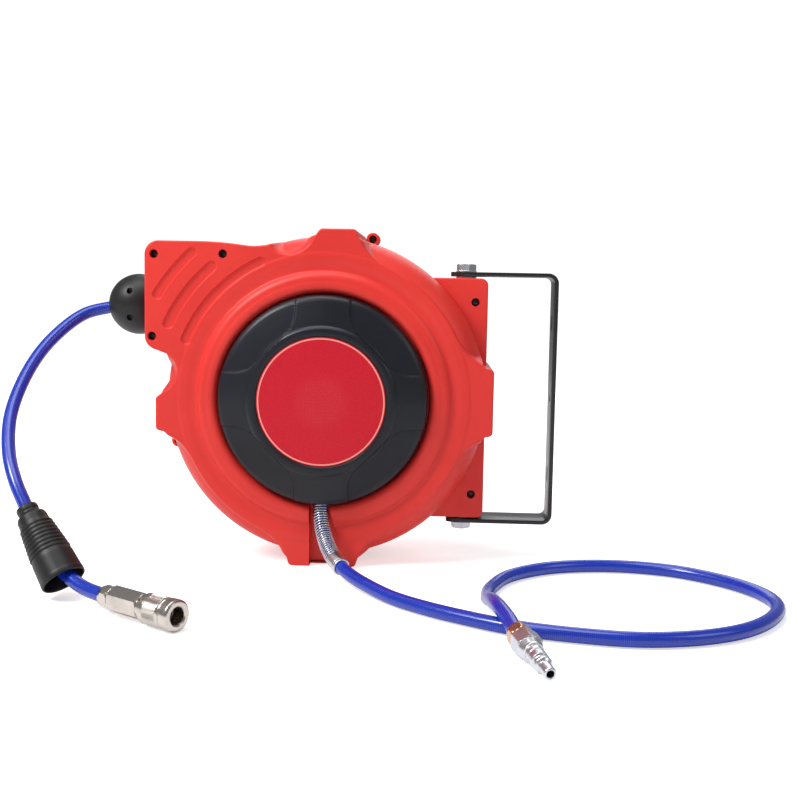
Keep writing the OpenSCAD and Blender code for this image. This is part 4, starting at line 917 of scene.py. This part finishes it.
# %% Trough
outer = [(-14.6, -96), (10.6, -96), (10.8, -103), (11.4, -107), (27.2, -158.2), (-14.6, -158.2)]
trough = cut_away(tidy(*prism(outer, 46.4, 61.0)), [prism(channel, 49, 100)])
dress(trough, "lead_channel", case_red, "case", [], 30)
print("trough closed")

# %% [markdown]
# ## Stop ball
# The ball keeps the hose end from winding into the mouth. It is two rubber
# halves screwed together round the hose, so a fine seam runs round it, and
# the screw heads sit deep in their holes.

# %% Stop ball
seam = [(29.98 * math.cos(math.radians(t)), 30 * math.sin(math.radians(t))) for t in range(-90, 0, 3)]
seam[0] = (0, -30)
seam += [(29.98, -0.4), (29.5, 0)]
seam += [(r, -h) for r, h in reversed(seam[:-1])]
ball = tidy(*lathe(seam, 96, ball_centre * MM, (0, -1, 0)))
def off_ball(x, y, z): return tuple(ball_centre + Vector((x, y, z)))
ball = cut_away(ball, [rod(6.05, tuple(ball_centre - 36 * feed_dir), tuple(ball_centre + 36 * feed_dir), 48)]
    + [rod(3.1, off_ball(-3, -18, s * 13), off_ball(-3, -34, s * 13), 28) for s in (1, -1)])
dress(ball, "stop_ball_halves", rubber_black, "case", ["stop_ball_front", "stop_ball_rear"], 30)
print("stop ball", len(ball.polygons), "faces")

# %% [markdown]
# ## Rubber boot
# The boot slides on the hose and covers the coupler in use: a narrow collar, a
# band of ribs to bend on, and a plain flared mouth. The skin is turned. The
# ribs are equal rings on a growing radius, which is a rule, so Geometry Nodes
# place one circle per rib, size it by its index and give it a round section.

# %% Boot
def aim_matrix(at, heading):
    u = Vector(heading).normalized()
    return (Matrix.Translation(Vector(at) * MM) @ Matrix.Rotation(math.atan2(u.y, u.x), 4, "Z")
            @ Matrix.Rotation(math.acos(u.z), 4, "Y"))

def rib_tree():
    tree, add, ends = start_tree("growing_ribs", {"Start": "geometry", "Ribs": "count", "Spacing": "length",
                                 "First Radius": "length", "Growth": "length", "Thickness": "length", "Finish": "finish"})
    step = add("ShaderNodeCombineXYZ", Z=ends["Spacing"])
    line = add("GeometryNodeMeshLine", {"mode": "OFFSET"}, Count=ends["Ribs"], Offset=step)
    circle = add("GeometryNodeCurvePrimitiveCircle", Resolution=72, Radius=1.0)
    grow = add("ShaderNodeMath", {"operation": "MULTIPLY_ADD"}, add("GeometryNodeInputIndex"),
               ends["Growth"], ends["First Radius"])
    scale = add("ShaderNodeCombineXYZ", X=grow, Y=grow, Z=1.0)
    placed = add("GeometryNodeInstanceOnPoints", Points=line, Instance=circle, Scale=scale)
    loose = add("GeometryNodeRealizeInstances", Geometry=placed)
    section = add("GeometryNodeCurvePrimitiveCircle", Radius=ends["Thickness"], Resolution=10)
    skin = add("GeometryNodeCurveToMesh", Curve=loose, Profile_Curve=section)
    return end_tree(tree, add, skin, ends["Finish"])

boot_axis = aim_matrix((-245, -165, 71), (0.564, -0.395, -0.725))
boot_skin = rounded([(6.5, 0.3), (8.7, 0.1), (9.3, 0.8), (9.4, 4.6), (8.9, 5.4), (9.0, 7.4), (12.0, 9.8), (12.9, 12.2),
    (13.1, 17.6), (13.6, 19.4), (17.2, 50.6), (17.9, 54), (18.7, 70.5), (19.0, 72.2), (19.0, 74.4), (18.7, 75.5),
    (18.2, 76.0), (17.4, 75.8), (17.0, 74.4), (16.2, 56), (13.0, 34), (11.2, 20), (6.5, 9)], 0.7, 4)
boot_mesh = tidy(*lathe(boot_skin + [boot_skin[0]], 96))
rib_mesh = grown(rib_tree(), line_of([(0, 0, 0)]), Ribs=8, Spacing=3.85 * MM, First_Radius=13.55 * MM,
                 Growth=0.47 * MM, Thickness=1.15 * MM, Finish=rubber_black.material)
rib_mesh.transform(Matrix.Translation((0, 0, 21.6 * MM)))
boot_mesh = joined([boot_mesh, rib_mesh])
boot_mesh.transform(boot_axis)
boot = dress(boot_mesh, "hose_boot_ribbed", rubber_black, "case", ["hose_boot"], 40)
print("boot", len(boot_mesh.polygons), "faces")

# %% [markdown]
# ## Quick disconnect coupler
# The coupler is machined from bar and nickel plated: a hose nut, a long hex
# body, a sleeve that slides back to release the plug, and a front ring that
# stops the sleeve. Each piece is drawn along its own axis and then aimed. A
# hexagon from the lathe has its corners turned off at both ends, so its radius
# is the smaller of the hexagon's and a turned profile's.

# %% Hexagons with turned ends
def hex_piece(across, turned_to, n=96, bore=None):
    """Levels of (height, turned radius); the hexagon is cut where it is wider."""
    angle = np.linspace(0, 2 * math.pi, n, endpoint=False)
    flat = across / 2 / np.cos((angle % (math.pi / 3)) - math.pi / 6)
    flat = np.minimum(flat, across / 2 / math.cos(math.pi / 6) * 0.988)
    rings = []
    for h, limit in turned_to:
        r = np.minimum(flat, limit)
        rings.append(np.stack([r * np.cos(angle), r * np.sin(angle), np.full(n, h)], -1))
    verts = np.concatenate(rings) * MM
    mesh = tidy(verts, capped_faces(len(rings), n))
    low, high = turned_to[0][0], turned_to[-1][0]
    return cut_away(mesh, [rod(bore, (0, 0, low - 2), (0, 0, high + 2), 48)]) if bore else mesh

def chamfered(low, high, across, depth=1.1):
    """Levels that turn both ends of a hexagon to its flats."""
    inner, corner = across / 2 * 0.985, across / 2 * 1.16
    share = np.linspace(0, 1, 6)
    ends = [(depth * s, inner + (corner - inner) * s ** 0.75) for s in share]
    return [(low, inner - 0.35)] + [(low + 0.15 + h, r) for h, r in ends] + [(high - 0.15 - h, r)
            for h, r in reversed(ends)] + [(high, inner - 0.35)]

def lathed(loop, n=96):
    return tidy(*lathe(list(loop) + [loop[0]], n))

def block(x0, x1, y0, y1, z0, z1, turn=0.0):
    """A box for cutting, turned about the axis."""
    c, s = math.cos(math.radians(turn)), math.sin(math.radians(turn))
    verts = [((x * c - y * s) * MM, (x * s + y * c) * MM, z * MM) for z in (z0, z1)
             for x, y in ((x0, y0), (x1, y0), (x1, y1), (x0, y1))]
    return verts, capped_faces(2, 4)

coupler_axis, plug_axis = aim_matrix(coupler_at, coupler_dir), aim_matrix(plug_at, plug_dir)
def aimed(mesh, axis, name, finish, stands_for, body="case", angle=28):
    mesh.transform(axis)
    return dress(mesh, name, finish, body, stands_for, angle)
print("hexagon tools ready")

# %% Nut, body and ring
nut = hex_piece(17.5, [(0, 7.6), (0.25, 8.2), (0.7, 8.55), (3, 9.0), (3.6, 9.5), (4.4, 9.9), (5, 10.1), (9.6, 10.1),
                       (10.4, 9.7), (11.1, 9.1), (11.5, 8.6)], bore=6.02)
coupler_nut = aimed(nut, coupler_axis, "coupler_hose_nut", nickel, ["coupler_nut"])
barrel = lathed([(3, 2), (5, 2), (5, 11.2), (7.6, 11.5), (8.0, 12.0), (8.0, 14.6), (9.75, 48), (9.75, 57.2), (9.5, 57.5),
                 (9.0, 57.5), (9.0, 85.8), (8.8, 86), (6.9, 86), (6.9, 74.4), (6.7, 74.3), (6.7, 57.1), (6.12, 57),
                 (6.12, 30), (3, 29.6)])
coupler_body = aimed(joined([hex_piece(20, chamfered(14, 49, 20), bore=7.9), barrel]), coupler_axis,
                     "coupler_hex_body", nickel, ["coupler_body"])
ring_loop = rounded([(9.03, 80), (9.03, 78.3), (11.7, 78.3), (12.4, 78.8), (12.8, 79.6), (12.8, 85.9), (12.55, 86.6),
                     (11.35, 87.85), (10.9, 88), (8.3, 88), (7.7, 87.7), (6.92, 86.9), (6.92, 84.02), (9.03, 84.0)], 0.2, 3)
coupler_ring = aimed(lathed(ring_loop), coupler_axis, "coupler_front_ring", nickel, ["coupler_ring"])
print("coupler nut, body and ring")

# %% [markdown]
# The sleeve's diamond knurl is hundreds of tiny pyramids in rows that step by
# half a tooth. A node tree sets one pyramid on every point, standing out from
# the axis with its corners along it. The sleeve itself is turned.

# %% Knurled sleeve
def tooth_tree():
    tree, add, ends = start_tree("knurl_teeth", {"Points": "geometry", "Tooth Width": "length",
                                                 "Tooth Height": "length", "Finish": "finish"})
    tooth = add("GeometryNodeMeshCone", Radius_Bottom=ends["Tooth Width"], Depth=ends["Tooth Height"],
                Vertices=4, Radius_Top=0.14 * MM)
    out = add("ShaderNodeVectorMath", {"operation": "MULTIPLY"}, add("GeometryNodeInputPosition"), (1, 1, 0))
    turn = add("FunctionNodeAxesToRotation", {"primary_axis": "Z", "secondary_axis": "X"}, out, (0, 0, 1))
    placed = add("GeometryNodeInstanceOnPoints", Points=ends["Points"], Instance=tooth, Rotation=turn)
    return end_tree(tree, add, placed, ends["Finish"])

around, rows, first = 44, 21, 59.6
knurl_r, row_step = 12.02, 0.7
knurl_points = []
for row in range(rows):
    for k in range(around):
        x, y = on_circle(knurl_r, 360 * (k + 0.5 * (row % 2)) / around)
        knurl_points.append((x * MM, y * MM, (first + row_step * row) * MM))
point_mesh = bpy.data.meshes.new("points")
point_mesh.from_pydata(knurl_points, [], [])
teeth = grown(tooth_tree(), point_mesh, Tooth_Width=0.86 * MM, Tooth_Height=0.42 * MM, Finish=nickel.material)
sleeve_loop = rounded([(10.02, 57.4), (10.02, 53.3), (11.6, 53.3), (12.0, 53.8), (12.0, 58.3), (11.9, 58.7), (12.1, 58.9),
    (12.1, 74.5), (11.9, 74.7), (12.0, 75.1), (12.4, 75.4), (12.4, 77.2), (12.1, 77.8), (11.5, 78), (10.5, 78),
    (10.5, 74.7), (9.46, 74.6), (9.46, 69.5), (11.1, 69.4), (11.1, 57.5)], 0.15, 3)
sleeve = cut_away(lathed(sleeve_loop), [block(8.8, 13.8, -1.9, 1.9, 52.3, 57.9, -135)])
coupler_sleeve = aimed(joined([sleeve, teeth]), coupler_axis, "coupler_knurled_sleeve", nickel,
                       ["coupler_sleeve"], "coupler_sleeve")
print("knurl of", len(knurl_points), "teeth")

# %% [markdown]
# ## Plug
# The matching plug is zinc plated steel with a nose that the coupler's balls
# hold by its groove. Its nut has taken a warm copper tint.

# %% Plug and its nut
nut = hex_piece(17, [(0, 7.5), (0.25, 8.0), (0.7, 8.4), (3, 8.8), (3.6, 9.3), (4.4, 9.7), (9.4, 9.7), (10.2, 9.3),
                     (11, 8.8), (11.5, 8.2)], bore=6.02)
plug_nut = aimed(nut, plug_axis, "plug_hose_nut", copper_tint, ["plug_nut"])
nose = rounded([(2.8, 2), (5, 2), (5, 11.6), (7.8, 11.8), (8.0, 12.2), (8.0, 13.8), (9.0, 28.8), (9.4, 29.4), (9.3, 29.8),
    (8.3, 33.8), (8.1, 34.4), (8.1, 36.6), (7.8, 37), (6.85, 37.2), (6.85, 42.3), (6.3, 42.7), (6.3, 43.6), (6.85, 44.0),
    (6.85, 50.3), (6.4, 50.8), (5.4, 51.2), (5.4, 53.8), (6.2, 54.4), (6.6, 54.9), (6.6, 56.8), (6.2, 57.4), (4.6, 58.6),
    (4.6, 69.4), (4.2, 70.2), (3.6, 70.5), (3.1, 70.5), (2.8, 70.1)], 0.25, 4)
plug_body = aimed(joined([hex_piece(19, chamfered(13.6, 29.5, 19, 1.3), bore=7.6), lathed(nose)]), plug_axis,
                  "plug_hex_and_nose", zinc, ["plug_body"])
print("plug ready")

# %% [markdown]
# ## Case screws
# Eight equal screws hold the halves together. One screw is turned and gets its
# cross recess; a node tree then sets a copy on each place. The screws take the
# black powder finish, which is painted shade for their deep holes.

# %% Screws on their places
def copies_tree():
    tree, add, ends = start_tree("copies_on_places", {"Places": "geometry", "Original": "object", "Finish": "finish"})
    info = tree.nodes.new("GeometryNodeObjectInfo")
    tree.links.new(ends["Original"], info.inputs["Object"])
    placed = add("GeometryNodeInstanceOnPoints", Points=ends["Places"], Instance=info.outputs["Geometry"])
    return end_tree(tree, add, placed, ends["Finish"])

screw_profile = [(0, 2.6), (2.2, 2.55), (3.1, 2.1), (3.45, 1.3), (3.5, 0.2), (3.3, 0), (2.0, 0), (2.0, -14), (0, -14)]
screw = cut_away(tidy(*lathe(screw_profile, 40)), [block(-2.2, 2.2, -0.4, 0.4, 1.2, 4), block(-0.4, 0.4, -2.2, 2.2, 1.2, 4)])
screw.transform(Matrix.Rotation(math.pi / 2, 4, "X"))
original = bpy.data.objects.new("screw_original", screw)
places = [(x, 57, w) for x, w in nose_screws] + [(x, 18, w) for x, w in flange_screws] + [(x, 8, w) for x, w in lug_screws]
place_mesh = bpy.data.meshes.new("places")
place_mesh.from_pydata([(x * MM, -(h - 3 + 0.05) * MM, (hub_z + w) * MM) for x, h, w in places], [], [])
# Painted shade: the screws take the black powder finish so that their deep holes read dark.
screws = dress(grown(copies_tree(), place_mesh, Original=original, Finish=powder.material), "case_screw_set",
               powder, "case", ["case_screws"], 30)
bpy.data.objects.remove(original)
print(len(places), "case screws")

# %% [markdown]
# ## The hidden pieces
# Drum, rollers, swivel and springs keep their CAD shape, which is already
# right, and take the finish of the material they are made of.

# %% Finishes for the CAD pieces
used = {}
for name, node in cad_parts.items():
    for place in node.material_slots:
        slot = place.material.name.split(".")[0] if place.material else "zinc"
        if slot in finishes:
            place.material = finishes[slot].material
            used[slot] = used.get(slot, 0) + 1
        else:
            print("no finish called", slot, "for", name)
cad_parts["stop_ball_screws"].material_slots[0].material = powder.material
print("CAD pieces by finish", used)

# %% Cords are not made here
print("no cords made")
